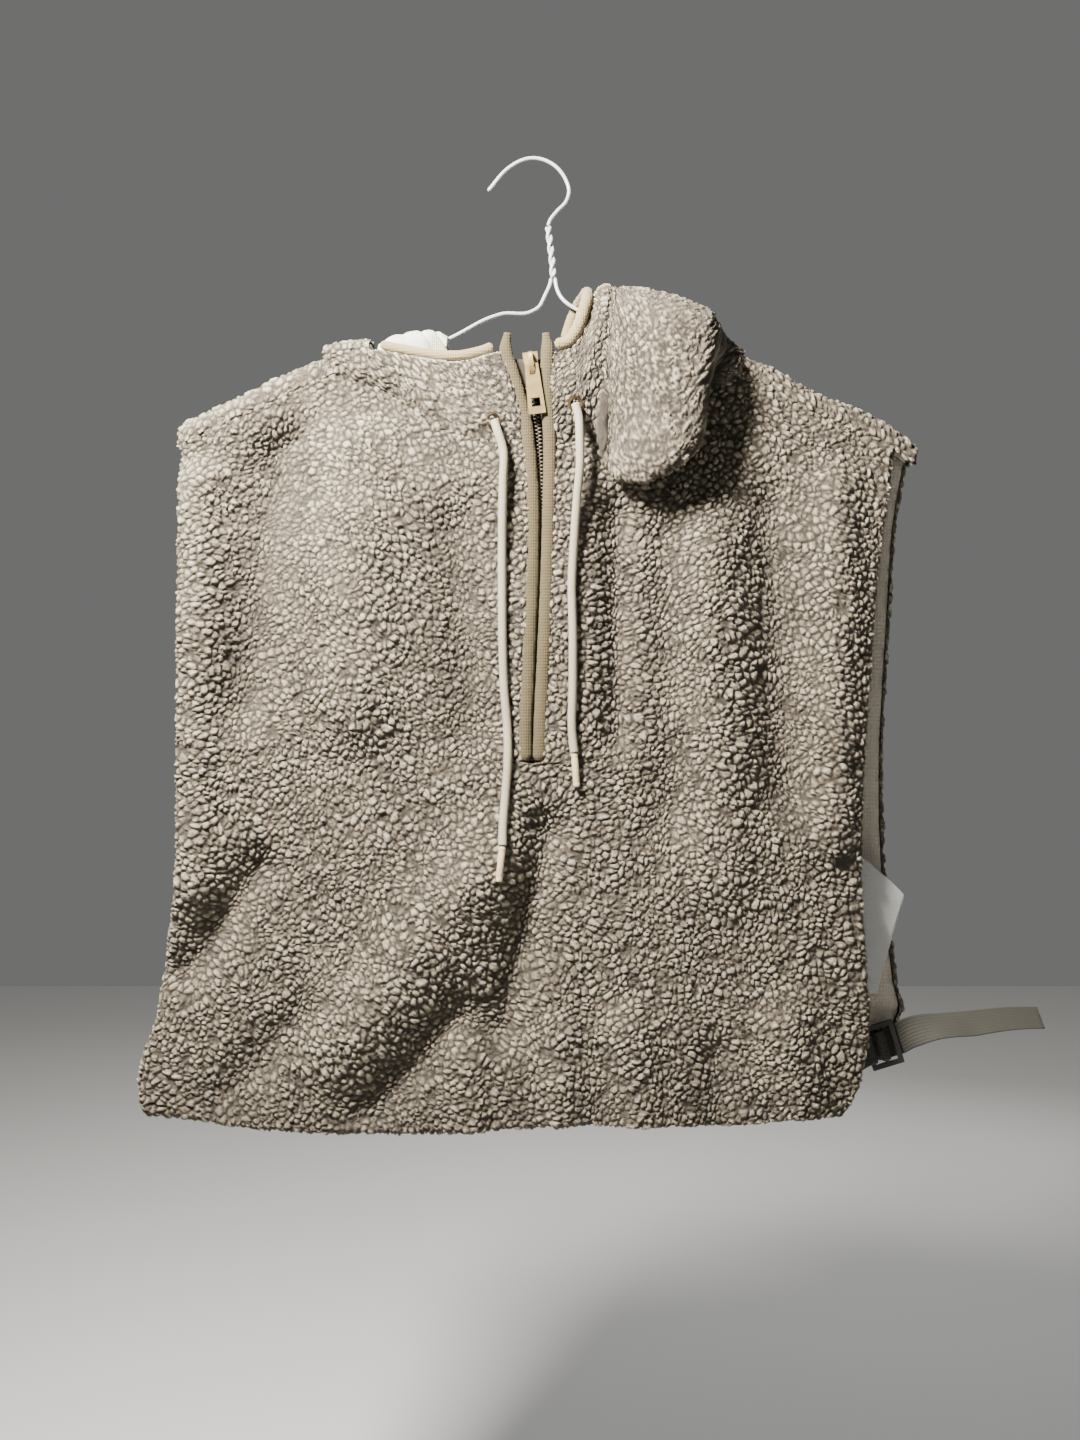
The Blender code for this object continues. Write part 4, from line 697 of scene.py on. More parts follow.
HOOD_KNOT_OF_RIDGE = 5


def hood_right_grid(station_from, station_to, columns, front_rows, nape_rows, gather=1.0):
    """The hood's right side, as smooth paths from the neck seam over the ridge to the nape.

    gather above 1 sets the first columns closer together, where the cloth turns sharply.
    """
    at = station_from + (station_to - station_from) * np.linspace(0.0, 1.0, columns) ** gather
    step = np.arange(len(HOOD_STATIONS))
    x_low, z_low, x_high, z_high, y_front, y_top = (
        through(step, [getattr(row, name) for row in HOOD_STATIONS], at)
        for name in ("x_low", "z_low", "x_high", "z_high", "y_front", "y_top"))
    seam_y, seam_z = neck_seam(x_low)
    low = np.minimum(z_low, seam_z - 1.0)
    hangs = smoothstep(4.0, 14.0, seam_z - low)
    stands = 1.0 - hangs
    chest_y = front_surface(x_low, low)[..., 1] - (FLEECE + HOOD_FLEECE) / 2 - HOOD_EASE
    lip_y = np.minimum(y_front + 3.0, chest_y)
    belly_y = np.minimum(y_front, chest_y)
    height = z_high - low
    rise = z_high - seam_z
    knots = np.stack([np.stack(np.broadcast_arrays(*point), axis=-1) for point in [
        (x_low, seam_y + 2.0 * hangs, seam_z + 2.2 * hangs),
        (x_low, hangs * (seam_y - 6.0) + stands * (0.8 * seam_y + 0.2 * y_front),
         seam_z + 2.0 * hangs + 4.0 * stands),
        (x_low, hangs * lip_y + stands * (0.3 * seam_y + 0.7 * y_front),
         low * hangs + (seam_z + 0.2 * rise) * stands),
        (0.55 * x_low + 0.45 * x_high, belly_y,
         (low + 0.42 * height) * hangs + (seam_z + 0.5 * rise) * stands),
        (x_high, 0.7 * y_front + 0.3 * y_top, z_high - 14.0),
        (x_high, y_top, z_high),
        (x_high, -13.0, z_high - 6.0),
        (x_high, HOOD_OUTER_Y, z_high - 26.0),
    ]])
    paths = []
    for k in range(columns):
        line = knots[:, k]
        run = np.concatenate([[0.0], np.cumsum(np.linalg.norm(np.diff(line, axis=0), axis=1))])
        ridge = run[HOOD_KNOT_OF_RIDGE]
        rows = np.linspace(0.0, ridge, front_rows)
        if nape_rows:
            rows = np.concatenate([rows, np.linspace(ridge, run[-1], nape_rows + 1)[1:]])
        paths.append(np.stack([through(run, line[:, axis], rows) for axis in range(3)], axis=1))
    return np.stack(paths, axis=1)


def hood_back_grid(rows, columns):
    """The pouch behind: over the back's neck seam, down, round its fold and up to the face edge."""
    x = np.linspace(-128.0, 108.0, columns)
    seam_z = column(BACK_NECK, "z", "x", x)
    hang = np.sqrt(1.0 - ((x + 10.0) / 122.0) ** 2)
    fold_z = seam_z - 22.0 - 135.0 * hang
    radius = 6.0
    inner_y = HOOD_OUTER_Y - 2 * radius
    nape = hood_right_grid(2.0, 6.0, 24, 8, 4)[-1]
    joined = np.interp(x, nape[:, 0], nape[:, 2]) - SEAM - 4 * GAP
    top_z = np.where(x > 50.0, joined, column(HOOD_BACK_TOP, "z", "x", x))
    neck = [(BACK_Y, SEAM + GAP), (BACK_Y + 1.5, 7.0), (BACK_Y + 6.5, 9.0), (inner_y - 0.3, 4.0)]
    over = np.stack([np.stack([x, np.full_like(x, y), seam_z + z], axis=-1) for y, z in neck])
    down = np.linspace(0.0, 1.0, rows)[:, None]
    down_z = seam_z - 3.0 + (fold_z + radius - seam_z + 3.0) * down
    inner = np.stack(np.broadcast_arrays(x, inner_y, down_z), axis=-1)
    angle = np.radians(np.linspace(0.0, 180.0, 9)[1:-1])[:, None]
    turn_y = inner_y + radius * (1 - np.cos(angle))
    turn_z = fold_z + radius * (1 - np.sin(angle))
    turn = np.stack(np.broadcast_arrays(x, turn_y, turn_z), axis=-1)
    up_z = fold_z + radius + (top_z - fold_z - radius) * down
    outer = np.stack(np.broadcast_arrays(x, HOOD_OUTER_Y, up_z), axis=-1)
    return over, inner, turn, outer


print("front reaches", np.round(front_half("left", 5, 5)[-1, 0], 1))

# %% [markdown]
# Meshes are made from whole arrays of points at once, which is much faster than adding faces one
# by one. `grid_faces` numbers the quads of a grid. `wall` gives a surface a thickness and rounded
# edges, as real cloth has, and `swept` carries an outline along a path.

# %% Meshes from arrays


def grid_faces(rows, columns, wrap=False):
    """The quads of a grid of points, joined round its columns when wrap is true."""
    index = np.arange(rows * columns).reshape(rows, columns)
    if wrap:
        index = np.concatenate([index, index[:, :1]], axis=1)
    corners = [index[:-1, :-1], index[1:, :-1], index[1:, 1:], index[:-1, 1:]]
    return np.stack(corners, axis=-1).reshape(-1, 4)


def new_piece(name, points, faces, look, body="vest", smooth=True, tuft=None):
    """Puts a mesh, with points in millimetres, into the scene as a piece that rides on a body."""
    mesh = bpy.data.meshes.new(name)
    points = np.asarray(points, np.float32).reshape(-1, 3) * MM
    faces = np.asarray(faces, np.int32)
    mesh.vertices.add(len(points))
    mesh.vertices.foreach_set("co", points.ravel())
    mesh.loops.add(faces.size)
    mesh.loops.foreach_set("vertex_index", faces.ravel())
    mesh.polygons.add(len(faces))
    starts = np.arange(0, faces.size, faces.shape[1], dtype=np.int32)
    mesh.polygons.foreach_set("loop_start", starts)
    mesh.update(calc_edges=True)
    mesh.validate()
    if tuft is not None:
        layer = mesh.attributes.new("tuft", "FLOAT", "POINT")
        layer.data.foreach_set("value", np.asarray(tuft, np.float32).ravel())
    mesh.materials.append(look)
    if smooth:
        mesh.shade_smooth()
    made = bpy.data.objects.new(name, mesh)
    bpy.context.scene.collection.objects.link(made)
    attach(made, body)
    return made


def boundary_edges(quads, count):
    """The directed edges that only one quad has."""
    edges = np.concatenate([quads[:, [k, (k + 1) % 4]] for k in range(4)])
    forward = edges[:, 0] * count + edges[:, 1]
    backward = edges[:, 1] * count + edges[:, 0]
    return edges[~np.isin(forward, backward)]


def towards(normal, direction):
    """The normals, turned over where they mostly face away from direction."""
    return normal if np.sum(normal @ np.asarray(direction, float)) > 0 else -normal


def wall(mid, front, back, outward):
    """A closed wall round a grid surface, front in front of it and back behind it.

    outward is a rough direction of its front face. The two faces are the surface moved along its
    normals, and quads round every edge close it.
    """
    rows, cols = mid.shape[:2]
    count = rows * cols
    normals = towards(grid_normals(mid).reshape(-1, 3), outward)
    points = mid.reshape(-1, 3)
    quads = grid_faces(rows, cols)
    corner, after, _, before = quads[0]
    face_normal = np.cross(points[after] - points[corner], points[before] - points[corner])
    if face_normal @ normals[corner] < 0:
        quads = quads[:, ::-1]
    start, end = boundary_edges(quads, count).T
    rims = np.stack([end, start, start + count, end + count], axis=1)
    faces = np.concatenate([quads, quads[:, ::-1] + count, rims])
    return np.concatenate([points + normals * front, points - normals * back]), faces


def ellipse(wide, deep, sides):
    """The outline of an ellipse of the given full width and depth."""
    angle = np.linspace(0.0, 2 * np.pi, sides, endpoint=False)
    return np.stack([wide / 2 * np.cos(angle), deep / 2 * np.sin(angle)], axis=1)


def swept(path, profile, wide):
    """A tube of quads with closed ends: a profile of (wide, deep) points carried along a path."""
    path = np.asarray(path, float)
    run = np.gradient(path, axis=0)
    run = run / np.linalg.norm(run, axis=1, keepdims=True)
    wide = np.broadcast_to(np.asarray(wide, float), path.shape)
    wide = wide - run * np.sum(wide * run, axis=1, keepdims=True)
    wide = wide / np.linalg.norm(wide, axis=1, keepdims=True)
    deep = np.cross(run, wide)
    profile = np.broadcast_to(np.asarray(profile, float), (len(path),) + np.shape(profile)[-2:])
    rings = path[:, None] + wide[:, None] * profile[..., :1] + deep[:, None] * profile[..., 1:]
    tight = 0.02
    first = rings[:1] * tight + path[:1, None] * (1 - tight)
    last = rings[-1:] * tight + path[-1:, None] * (1 - tight)
    rings = np.concatenate([first, rings, last])
    rows, sides = rings.shape[:2]
    faces = grid_faces(rows, sides, wrap=True)
    return rings.reshape(-1, 3), faces


def carried(path):
    """For each point of a path, a sideways direction that doesn't spin as the path bends."""
    run = np.gradient(np.asarray(path, float), axis=0)
    run = run / np.linalg.norm(run, axis=1, keepdims=True)
    side = np.cross(run[0], (0.0, 0.0, 1.0) if abs(run[0, 2]) < 0.9 else (0.0, 1.0, 0.0))
    sides = []
    for step in run:
        side = side - step * (side @ step)
        side = side / np.linalg.norm(side)
        sides.append(side)
    return np.array(sides)


print("faces of a 3 by 3 grid:", len(grid_faces(3, 3)))

# %% [markdown]
# Materials are made of nodes. A small helper adds a node and joins it up in one line, so that each
# material below reads as a short recipe: colour first, then roughness, then a bump.

# %% Material helper


class Recipe:
    """A material being written: add() puts in a node, and joins up any socket it is given."""

    def __init__(self, name):
        self.material = bpy.data.materials.new(name)
        self.material.use_nodes = True
        self.tree = self.material.node_tree
        self.shader = self.tree.nodes["Principled BSDF"]

    def put(self, socket, value):
        if isinstance(value, bpy.types.NodeSocket):
            self.tree.links.new(value, socket)
        else:
            socket.default_value = value

    def add(self, kind, inputs=None, **settings):
        node = self.tree.nodes.new("ShaderNode" + kind)
        for key, value in settings.items():
            setattr(node, key, value)
        for key, value in (inputs or {}).items():
            self.put(node.inputs[key], value)
        return node

    def place(self):
        """The object's own coordinates, in metres, which stay put on the piece."""
        return self.add("TexCoord").outputs["Object"]

    def noise(self, scale, detail=2.0, rough=0.5, vector=None):
        vector = vector or self.place()
        inputs = {"Scale": scale, "Detail": detail, "Roughness": rough, "Vector": vector}
        return self.add("TexNoise", inputs).outputs["Fac"]

    def math(self, operation, a, b=0.0):
        return self.add("Math", {0: a, 1: b}, operation=operation).outputs[0]

    def mix(self, share, a, b):
        """A colour between a and b."""
        node = self.add("Mix", data_type="RGBA")
        self.put(node.inputs[0], share)
        self.put(node.inputs[6], a)
        self.put(node.inputs[7], b)
        return node.outputs[2]

    def ramp(self, value, stops):
        """A colour ramp: stops are rows of place and colour."""
        node = self.add("ValToRGB", {"Fac": value})
        elements = node.color_ramp.elements
        while len(elements) < len(stops):
            elements.new(0.5)
        for element, (place, colour) in zip(elements, stops):
            element.position = place
            element.color = (*colour, 1.0)
        return node.outputs["Color"]

    def bump(self, height, distance, strength=1.0, after=None):
        inputs = {"Height": height, "Distance": distance, "Strength": strength}
        if after is not None:
            inputs["Normal"] = after
        return self.add("Bump", inputs).outputs["Normal"]

    def finish(self, **values):
        """Sets the shader's own sockets, such as Base_Color or Roughness."""
        for key, value in values.items():
            socket = self.shader.inputs[key.replace("_", " ")]
            if isinstance(value, tuple) and len(value) == 3:
                value = (*value, 1.0)
            self.put(socket, value)
        return self.material


def fleece_look(name, tip, middle, hollow):
    """Curly pile: painted shade in the hollows between tufts and curls, painted light on the tips,
    and curls drawn by small cells' edges.
    """
    look = Recipe(name)
    here = look.place()
    swirl = look.add("TexNoise", {"Scale": 260.0, "Detail": 2.0, "Vector": here}).outputs["Color"]
    centred = {0: swirl, 1: (0.5, 0.5, 0.5)}
    shifted = look.add("VectorMath", centred, operation="SUBTRACT").outputs[0]
    pushed = look.add("VectorMath", {0: shifted, 1: here}, operation="MULTIPLY_ADD")
    pushed.inputs[1].default_value = (0.0022, 0.0022, 0.0022)
    look.put(pushed.inputs[2], here)
    bent_place = pushed.outputs[0]
    cells = {"Scale": 330.0, "Vector": bent_place}
    edges = look.add("TexVoronoi", cells, feature="DISTANCE_TO_EDGE")
    lobe = look.math("MINIMUM", look.math("MULTIPLY", edges.outputs["Distance"], 3.4), 1.0)
    tuft = look.add("Attribute", attribute_name="tuft").outputs["Fac"]
    fine = look.noise(1100.0, 3.0, 0.7, bent_place)
    blotch = look.noise(38.0, 3.0, 0.6, here)
    # The level climbs from hollow to tip, and the ramp paints shade low down and light high up.
    level = look.math("ADD", look.math("MULTIPLY", tuft, 0.80), look.math("MULTIPLY", lobe, 0.42))
    level = look.math("ADD", level, look.math("MULTIPLY", look.math("SUBTRACT", fine, 1.15), 0.34))
    colour = look.ramp(level, [(0.36, hollow), (0.58, middle), (0.86, tip)])
    warm = look.math("MULTIPLY", look.ramp(blotch, [(0.40, (0, 0, 0)), (0.70, (1, 1, 1))]), 0.16)
    aged = look.mix(warm, colour, (0.62, 0.51, 0.37, 1.0))
    curls = look.add("TexVoronoi", {"Scale": 520.0, "Vector": bent_place}, feature="SMOOTH_F1")
    fibres = look.noise(2200.0, 2.0, 0.7, bent_place)
    bumped = look.bump(lobe, 0.0016, 1.0)
    bumped = look.bump(curls.outputs["Distance"], 0.0006, 0.6, after=bumped)
    bumped = look.bump(fibres, 0.00035, 0.7, after=bumped)
    return look.finish(Base_Color=aged, Roughness=0.93, Normal=bumped, Sheen_Weight=0.22,
                       Sheen_Roughness=0.5, Sheen_Tint=(0.95, 0.92, 0.86))


def knit_look(name, colour, dark, scale=950.0):
    """A fine knit, for the fleece's backing, the bindings and the lining."""
    look = Recipe(name)
    here = look.place()
    row_inputs = {"Scale": scale / 6.28, "Distortion": 1.2, "Detail": 2.0, "Detail Scale": 2.0,
                  "Vector": here}
    rows = look.add("TexWave", row_inputs, wave_type="BANDS", bands_direction="X").outputs["Fac"]
    across_inputs = {"Scale": scale / 8.0, "Distortion": 1.6, "Detail": 2.0, "Vector": here}
    across = look.add("TexWave", across_inputs, wave_type="BANDS",
                      bands_direction="Z").outputs["Fac"]
    blotch = look.noise(55.0, 3.0, 0.55)
    fine = look.noise(1500.0, 2.0, 0.6)
    weave = look.math("MULTIPLY", rows, across)
    patches = look.math("MULTIPLY", blotch, 0.65)
    shade = look.math("ADD", look.math("MULTIPLY", weave, 0.35), patches)
    base = look.mix(shade, (*dark, 1.0), (*colour, 1.0))
    bumped = look.bump(weave, 0.00035, 0.8)
    bumped = look.bump(fine, 0.0002, 0.6, after=bumped)
    return look.finish(Base_Color=base, Roughness=0.88, Normal=bumped, Sheen_Weight=0.05,
                       Sheen_Roughness=0.4, Specular_IOR_Level=0.3)


def metal_look(name, colour, dark, roughness, metallic):
    """Painted or plated metal with a faint grain and rubbed patches."""
    look = Recipe(name)
    grain = look.noise(1400.0, 4.0, 0.6)
    worn = look.noise(160.0, 3.0, 0.6)
    rubbed = look.ramp(worn, [(0.35, (0, 0, 0)), (0.65, (1, 1, 1))])
    base = look.mix(rubbed, (*dark, 1.0), (*colour, 1.0))
    rough = look.math("ADD", look.math("MULTIPLY", worn, 0.18), roughness - 0.08)
    return look.finish(Base_Color=base, Metallic=metallic, Roughness=rough,
                       Normal=look.bump(grain, 0.00012, 0.45))


def plastic_look(name, colour, roughness, grain_scale=1800.0, coat=0.0):
    """Moulded plastic or a plastic coat: fine grain and small changes of gloss."""
    look = Recipe(name)
    grain = look.noise(grain_scale, 3.0, 0.6)
    patches = look.noise(90.0, 3.0, 0.55)
    darker = tuple(0.8 * part for part in colour)
    base = look.mix(patches, (*darker, 1.0), (*colour, 1.0))
    rough = look.math("ADD", look.math("MULTIPLY", patches, 0.14), roughness - 0.05)
    return look.finish(Base_Color=base, Roughness=rough, Normal=look.bump(grain, 0.0001, 0.4),
                       Coat_Weight=coat, Coat_Roughness=0.2)


def thread_look(name, colour, dark, scale=2600.0):
    """Twisted or woven thread: painted light on the raised strands or ribs, painted shade in the
    gaps between them, broken by fine noise.
    """
    look = Recipe(name)
    tuft = look.add("Attribute", attribute_name="tuft").outputs["Fac"]
    fine = look.noise(scale, 3.0, 0.7)
    fuzz = look.math("MULTIPLY", look.math("SUBTRACT", fine, 0.57), 0.35)
    shade = look.math("ADD", look.math("MULTIPLY", tuft, 0.95), fuzz)
    base = look.mix(shade, (*dark, 1.0), (*colour, 1.0))
    return look.finish(Base_Color=base, Roughness=0.8, Normal=look.bump(fine, 0.00025, 0.7),
                       Sheen_Weight=0.06, Sheen_Roughness=0.4)


# The tip colour is paler than the cloth and the hollow colour far darker: painted light and painted
# shade.
FLEECE_LOOK = fleece_look("sherpa_pile", (1.0, 0.91, 0.715), (0.56, 0.47, 0.325),
                          (0.05, 0.036, 0.021))
BACKING_LOOK = knit_look("fleece_backing", (0.62, 0.56, 0.47), (0.42, 0.37, 0.30))
# A dark backing for the hood's right side: painted shade for the valley beside the hood's roll.
PAINTED_SHADE_BACKING_LOOK = knit_look("hood_painted_shade_backing", (0.17, 0.14, 0.10), (0.09, 0.074, 0.052))
JERSEY_LOOK = knit_look("binding_jersey", (0.105, 0.083, 0.044), (0.06, 0.046, 0.023), 1300.0)
PALE_JERSEY_LOOK = knit_look("hood_binding_jersey", (0.27, 0.22, 0.12), (0.18, 0.143, 0.075),
                             1300.0)
LINING_LOOK = knit_look("smooth_lining", (0.50, 0.485, 0.42), (0.40, 0.385, 0.32), 1500.0)
# The tape is coloured near black: painted shade for the narrow slit between the bindings.
TAPE_LOOK = knit_look("zip_tape_weave", (0.05, 0.042, 0.03), (0.025, 0.02, 0.014), 1800.0)
CHAMPAGNE_LOOK = metal_look("champagne_metal", (0.38, 0.275, 0.13), (0.33, 0.235, 0.105),
                            0.36, 0.75)
BRONZE_LOOK = metal_look("eyelet_bronze", (0.17, 0.11, 0.06), (0.07, 0.045, 0.025), 0.36, 0.9)
# The buckles are black plastic, made darker still as painted shade.
PLASTIC_LOOK = plastic_look("buckle_plastic", (0.007, 0.006, 0.004), 0.46)
WIRE_LOOK = plastic_look("coated_wire", (0.42, 0.43, 0.44), 0.28, 700.0, 0.3)
# The webbing is much darker than the real straps: painted shadow, for the shade of the vest they
# hang in.
WEBBING_SHADOW_PAINT = thread_look("webbing_in_painted_shadow", (0.020, 0.0175, 0.0115), (0.004, 0.0035, 0.002))
# The cord's dark colour is painted shade between its strands.
CORD_LOOK = thread_look("braided_cord", (0.44, 0.39, 0.285), (0.04, 0.032, 0.02))
TIP_LOOK = plastic_look("cord_tip", (0.56, 0.44, 0.27), 0.35)
LABEL_LOOK = knit_look("woven_label", (0.52, 0.52, 0.50), (0.40, 0.40, 0.385), 2400.0)
print("materials", len(bpy.data.materials))

# %% [markdown]
# The drawcord is braided: strands go round it both ways, and cross over and under. Each strand
# lifts the surface a little, so the braid is a ripple on a round tube. The free ends hang from the
# eyelets in the hood, just in front of the chest, so their routes follow the chest's folds.

# %% Drawcord
CORD_STEP = 0.68
BRAID_PITCH = 2.1
BRAID_STRANDS = 8


def before_chest(rows, diameter):
    """Points in front of the front panel: its face, then the clearance and half the thickness."""
    x, z, clear = np.array(rows).T
    face_y = front_surface(x, z)[..., 1] - FLEECE / 2
    return np.stack([x, face_y - clear - diameter / 2, z], axis=1)


def braid(path, diameter, pitch, strands):
    """A tube whose surface ripples with two sets of crossing strands.

    A strand of one set lies where half the strand count times the angle, plus the turns along the
    cord, is a whole number of half turns. The other set turns the other way.
    """
    sides = 4 * strands
    along = np.concatenate([[0.0], np.cumsum(np.linalg.norm(np.diff(path, axis=0), axis=1))])
    angle = np.linspace(0.0, 2 * np.pi, sides, endpoint=False)
    turn = np.pi * along[:, None] / pitch
    one = np.abs(np.sin(strands * angle / 2 + turn))
    other = np.abs(np.sin(strands * angle / 2 - turn))
    lift = np.maximum(one, other) ** 1.5
    radius = diameter / 2 * (0.88 + 0.12 * lift)
    profile = np.stack([radius * np.cos(angle), radius * np.sin(angle)], axis=-1)
    rings, faces = swept(path, profile, carried(path))
    capped = np.concatenate([lift[:1], lift, lift[-1:]])
    return rings, faces, capped


def drawcord(side, exit_point, rows, length):
    """One free end of the drawcord, from its eyelet down, with a braided surface."""
    points = np.concatenate([[exit_point], before_chest(rows, CORD)])
    path = route(points, int(length / CORD_STEP))
    rings, faces, lift = braid(path, CORD, BRAID_PITCH, BRAID_STRANDS)
    made = new_piece(f"drawcord_{side}", rings, faces, CORD_LOOK,
                     tuft=lift)
    return made, path


def tip(side, rows):
    """The stiff tip: a shrunk sleeve with a ring pressed in near each end."""
    top, foot = before_chest(rows, CORD_TIP)
    share = np.array([0.0, 0.012, 0.03, 0.10, 0.13, 0.16, 0.84, 0.87, 0.90, 0.97, 0.988, 1.0])
    size = np.array([0.70, 0.90, 1.0, 1.0, 0.92, 1.0, 1.0, 0.92, 1.0, 1.0, 0.90, 0.70])
    path = top + share[:, None] * (foot - top)
    profile = ellipse(CORD_TIP, CORD_TIP, 24) * size[:, None, None]
    rings, faces = swept(path, profile, (1, 0, 0))
    made = new_piece(f"cord_tip_{side}", rings, faces, TIP_LOOK)
    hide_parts(f"aglet_{side}")
    return made


def cord_start(side):
    """The first ring of the solid cord: the middle of the end that faces the eyelet."""
    _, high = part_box(f"cord_{side}")
    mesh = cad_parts[f"cord_{side}"].data
    spots = np.empty(3 * len(mesh.vertices))
    mesh.vertices.foreach_get("co", spots)
    spots = spots.reshape(-1, 3) / MM
    near_top = spots[spots[:, 2] > high[2] / MM - 1.5]
    return near_top.mean(axis=0)


cord_tables = {"left": (CORD_LEFT_ROUTE, AGLET_LEFT_ROUTE),
               "right": (CORD_RIGHT_ROUTE, AGLET_RIGHT_ROUTE)}
for side, (cord_rows, tip_rows) in cord_tables.items():
    start = cord_start(side)
    straight = np.concatenate([[start], before_chest(cord_rows, CORD)])
    cord_length = np.sum(np.linalg.norm(np.diff(straight, axis=0), axis=1))
    cord_piece, cord_path = drawcord(side, start, cord_rows, cord_length)
    tip_piece = tip(side, tip_rows)
    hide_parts(f"cord_{side}")
    print("cord", side, round(cord_length, 1), "mm")

# %% [markdown]
# Sherpa pile is brushed yarn that has curled into small tufts. Here each tuft is a dome. Its place
# comes from a jittered lattice, so no two are alike, and a point belongs to the nearest tuft. The
# height falls to nothing where two tufts meet, which makes the hollows between them, and the pile's
# colour paints shade into them.

# %% Pile
TUFT_PITCH = 4.3
CURL_PITCH = 2.1
LATTICE_TURN = 0.6
TABLE = 128
CURL_SHIFT = 300.0
WRAP_RADIUS = 4.0
WRAP_STEPS = 8
chance = np.random.default_rng(20)
TUFT_TABLE = chance.random((TABLE, TABLE, 6))
CLUMP_TABLE = chance.random((TABLE, TABLE))


def value_noise(a, b, pitch):
    """Smooth noise between 0 and 1: a table of random numbers, blended between its points."""
    u, v = a / pitch, b / pitch
    i, j = np.floor(u).astype(int), np.floor(v).astype(int)
    s, t = smoothstep(0, 1, u - i), smoothstep(0, 1, v - j)
    corner = [CLUMP_TABLE[(i + di) % TABLE, (j + dj) % TABLE] for di in (0, 1) for dj in (0, 1)]
    near = corner[0] * (1 - t) + corner[1] * t
    far = corner[2] * (1 - t) + corner[3] * t
    return near * (1 - s) + far * s


def tufts(a, b, pitch=TUFT_PITCH):
    """Height of the pile from 0 to 1 at cloth coordinates (a, b) in millimetres.

    For each of the nine lattice cells round a point: the distance to that cell's tuft, stretched
    along the tuft's own direction. The nearest distance makes the dome, and the difference between
    the two nearest makes the hollow between tufts. Slow noise bends the lattice first.
    """
    bend_a = 2.6 * (value_noise(a, b, 9.0) - 0.5) + 7.0 * (value_noise(b + 50, a, 31.0) - 0.5)
    bend_b = 2.6 * (value_noise(b, a + 70, 9.0) - 0.5) + 7.0 * (value_noise(a, b + 90, 31.0) - 0.5)
    cos, sin = np.cos(LATTICE_TURN), np.sin(LATTICE_TURN)
    u = ((a + bend_a) * cos + (b + bend_b) * sin) / pitch
    v = ((b + bend_b) * cos - (a + bend_a) * sin) / pitch
    i, j = np.floor(u).astype(int), np.floor(v).astype(int)
    nearest = np.full(a.shape, 9.0)
    second = np.full(a.shape, 9.0)
    height = np.zeros(a.shape)
    for di in (-1, 0, 1):
        for dj in (-1, 0, 1):
            cell = TUFT_TABLE[(i + di) % TABLE, (j + dj) % TABLE]
            x = u - (i + di + cell[..., 0])
            y = v - (j + dj + cell[..., 1])
            turn = np.pi * cell[..., 2]
            stretch = 1.0 + 0.4 * cell[..., 3]
            along = (x * np.cos(turn) + y * np.sin(turn)) / stretch
            across = (y * np.cos(turn) - x * np.sin(turn)) * (0.85 + 0.3 * cell[..., 5])
            far = np.hypot(along, across)
            closer = far < nearest
            second = np.where(closer, nearest, np.minimum(second, far))
            height = np.where(closer, 0.55 + 0.45 * cell[..., 4], height)
            nearest = np.where(closer, far, nearest)
    dome = np.sqrt(np.clip(1.0 - (nearest / 0.95) ** 2, 0.0, 1.0))
    hollow = smoothstep(0.0, 0.34, second - nearest)
    return height * dome * (0.15 + 0.85 * hollow)


def pile_points(base, direction, a, b, foot, depth):
    """The pile's surface: the base moved along its directions by a foot and the tufts' height."""
    tall = tufts(a, b)
    curl = tufts(a + CURL_SHIFT, b + CURL_SHIFT, CURL_PITCH)
    clump = value_noise(a, b + 40.0, 24.0) + 0.5 * value_noise(a + 11.0, b, 11.0)
    rise = foot + depth * (0.80 * tall + 0.25 * curl) + 0.9 * (clump - 0.75)
    # The tufts' height also sets the shade attribute: painted shade in the gaps, painted light on
    # the tops.
    shade = np.clip(0.85 * tall + 0.30 * curl, 0.0, 1.0)
    return base + direction * rise[..., None], shade


def wrap_edge(base, direction, a, b, side, degrees):
    """Carries a pile grid round one edge of the cloth, on an arc of the given degrees."""
    turned = side in ("top", "bottom")
    if turned:
        base, direction = base.swapaxes(0, 1), direction.swapaxes(0, 1)
        a, b = a.T, b.T
    flip = side in ("left", "top")
    if flip:
        base, direction, a, b = base[:, ::-1], direction[:, ::-1], a[:, ::-1], b[:, ::-1]
    out = base[:, -1] - base[:, -2]
    out = out - direction[:, -1] * np.sum(out * direction[:, -1], axis=1, keepdims=True)
    out = out / np.maximum(np.linalg.norm(out, axis=1, keepdims=True), 1e-9)
    angle = np.radians(np.linspace(0.0, degrees, WRAP_STEPS + 1)[1:])
    more_base = np.repeat(base[:, -1:], WRAP_STEPS, axis=1)
    cos, sin = np.cos(angle)[:, None], np.sin(angle)[:, None]
    more_direction = direction[:, -1][:, None] * cos + out[:, None] * sin
    last_a, last_b = a[:, -1] - a[:, -2], b[:, -1] - b[:, -2]
    length = np.maximum(np.hypot(last_a, last_b), 1e-9)
    more_a = a[:, -1:] + (last_a / length)[:, None] * angle * WRAP_RADIUS
    more_b = b[:, -1:] + (last_b / length)[:, None] * angle * WRAP_RADIUS
    base = np.concatenate([base, more_base], axis=1)
    direction = np.concatenate([direction, more_direction], axis=1)
    a = np.concatenate([a, more_a], axis=1)
    b = np.concatenate([b, more_b], axis=1)
    if flip:
        base, direction, a, b = base[:, ::-1], direction[:, ::-1], a[:, ::-1], b[:, ::-1]
    if turned:
        base, direction = base.swapaxes(0, 1), direction.swapaxes(0, 1)
        a, b = a.T, b.T
    return base, direction, a, b


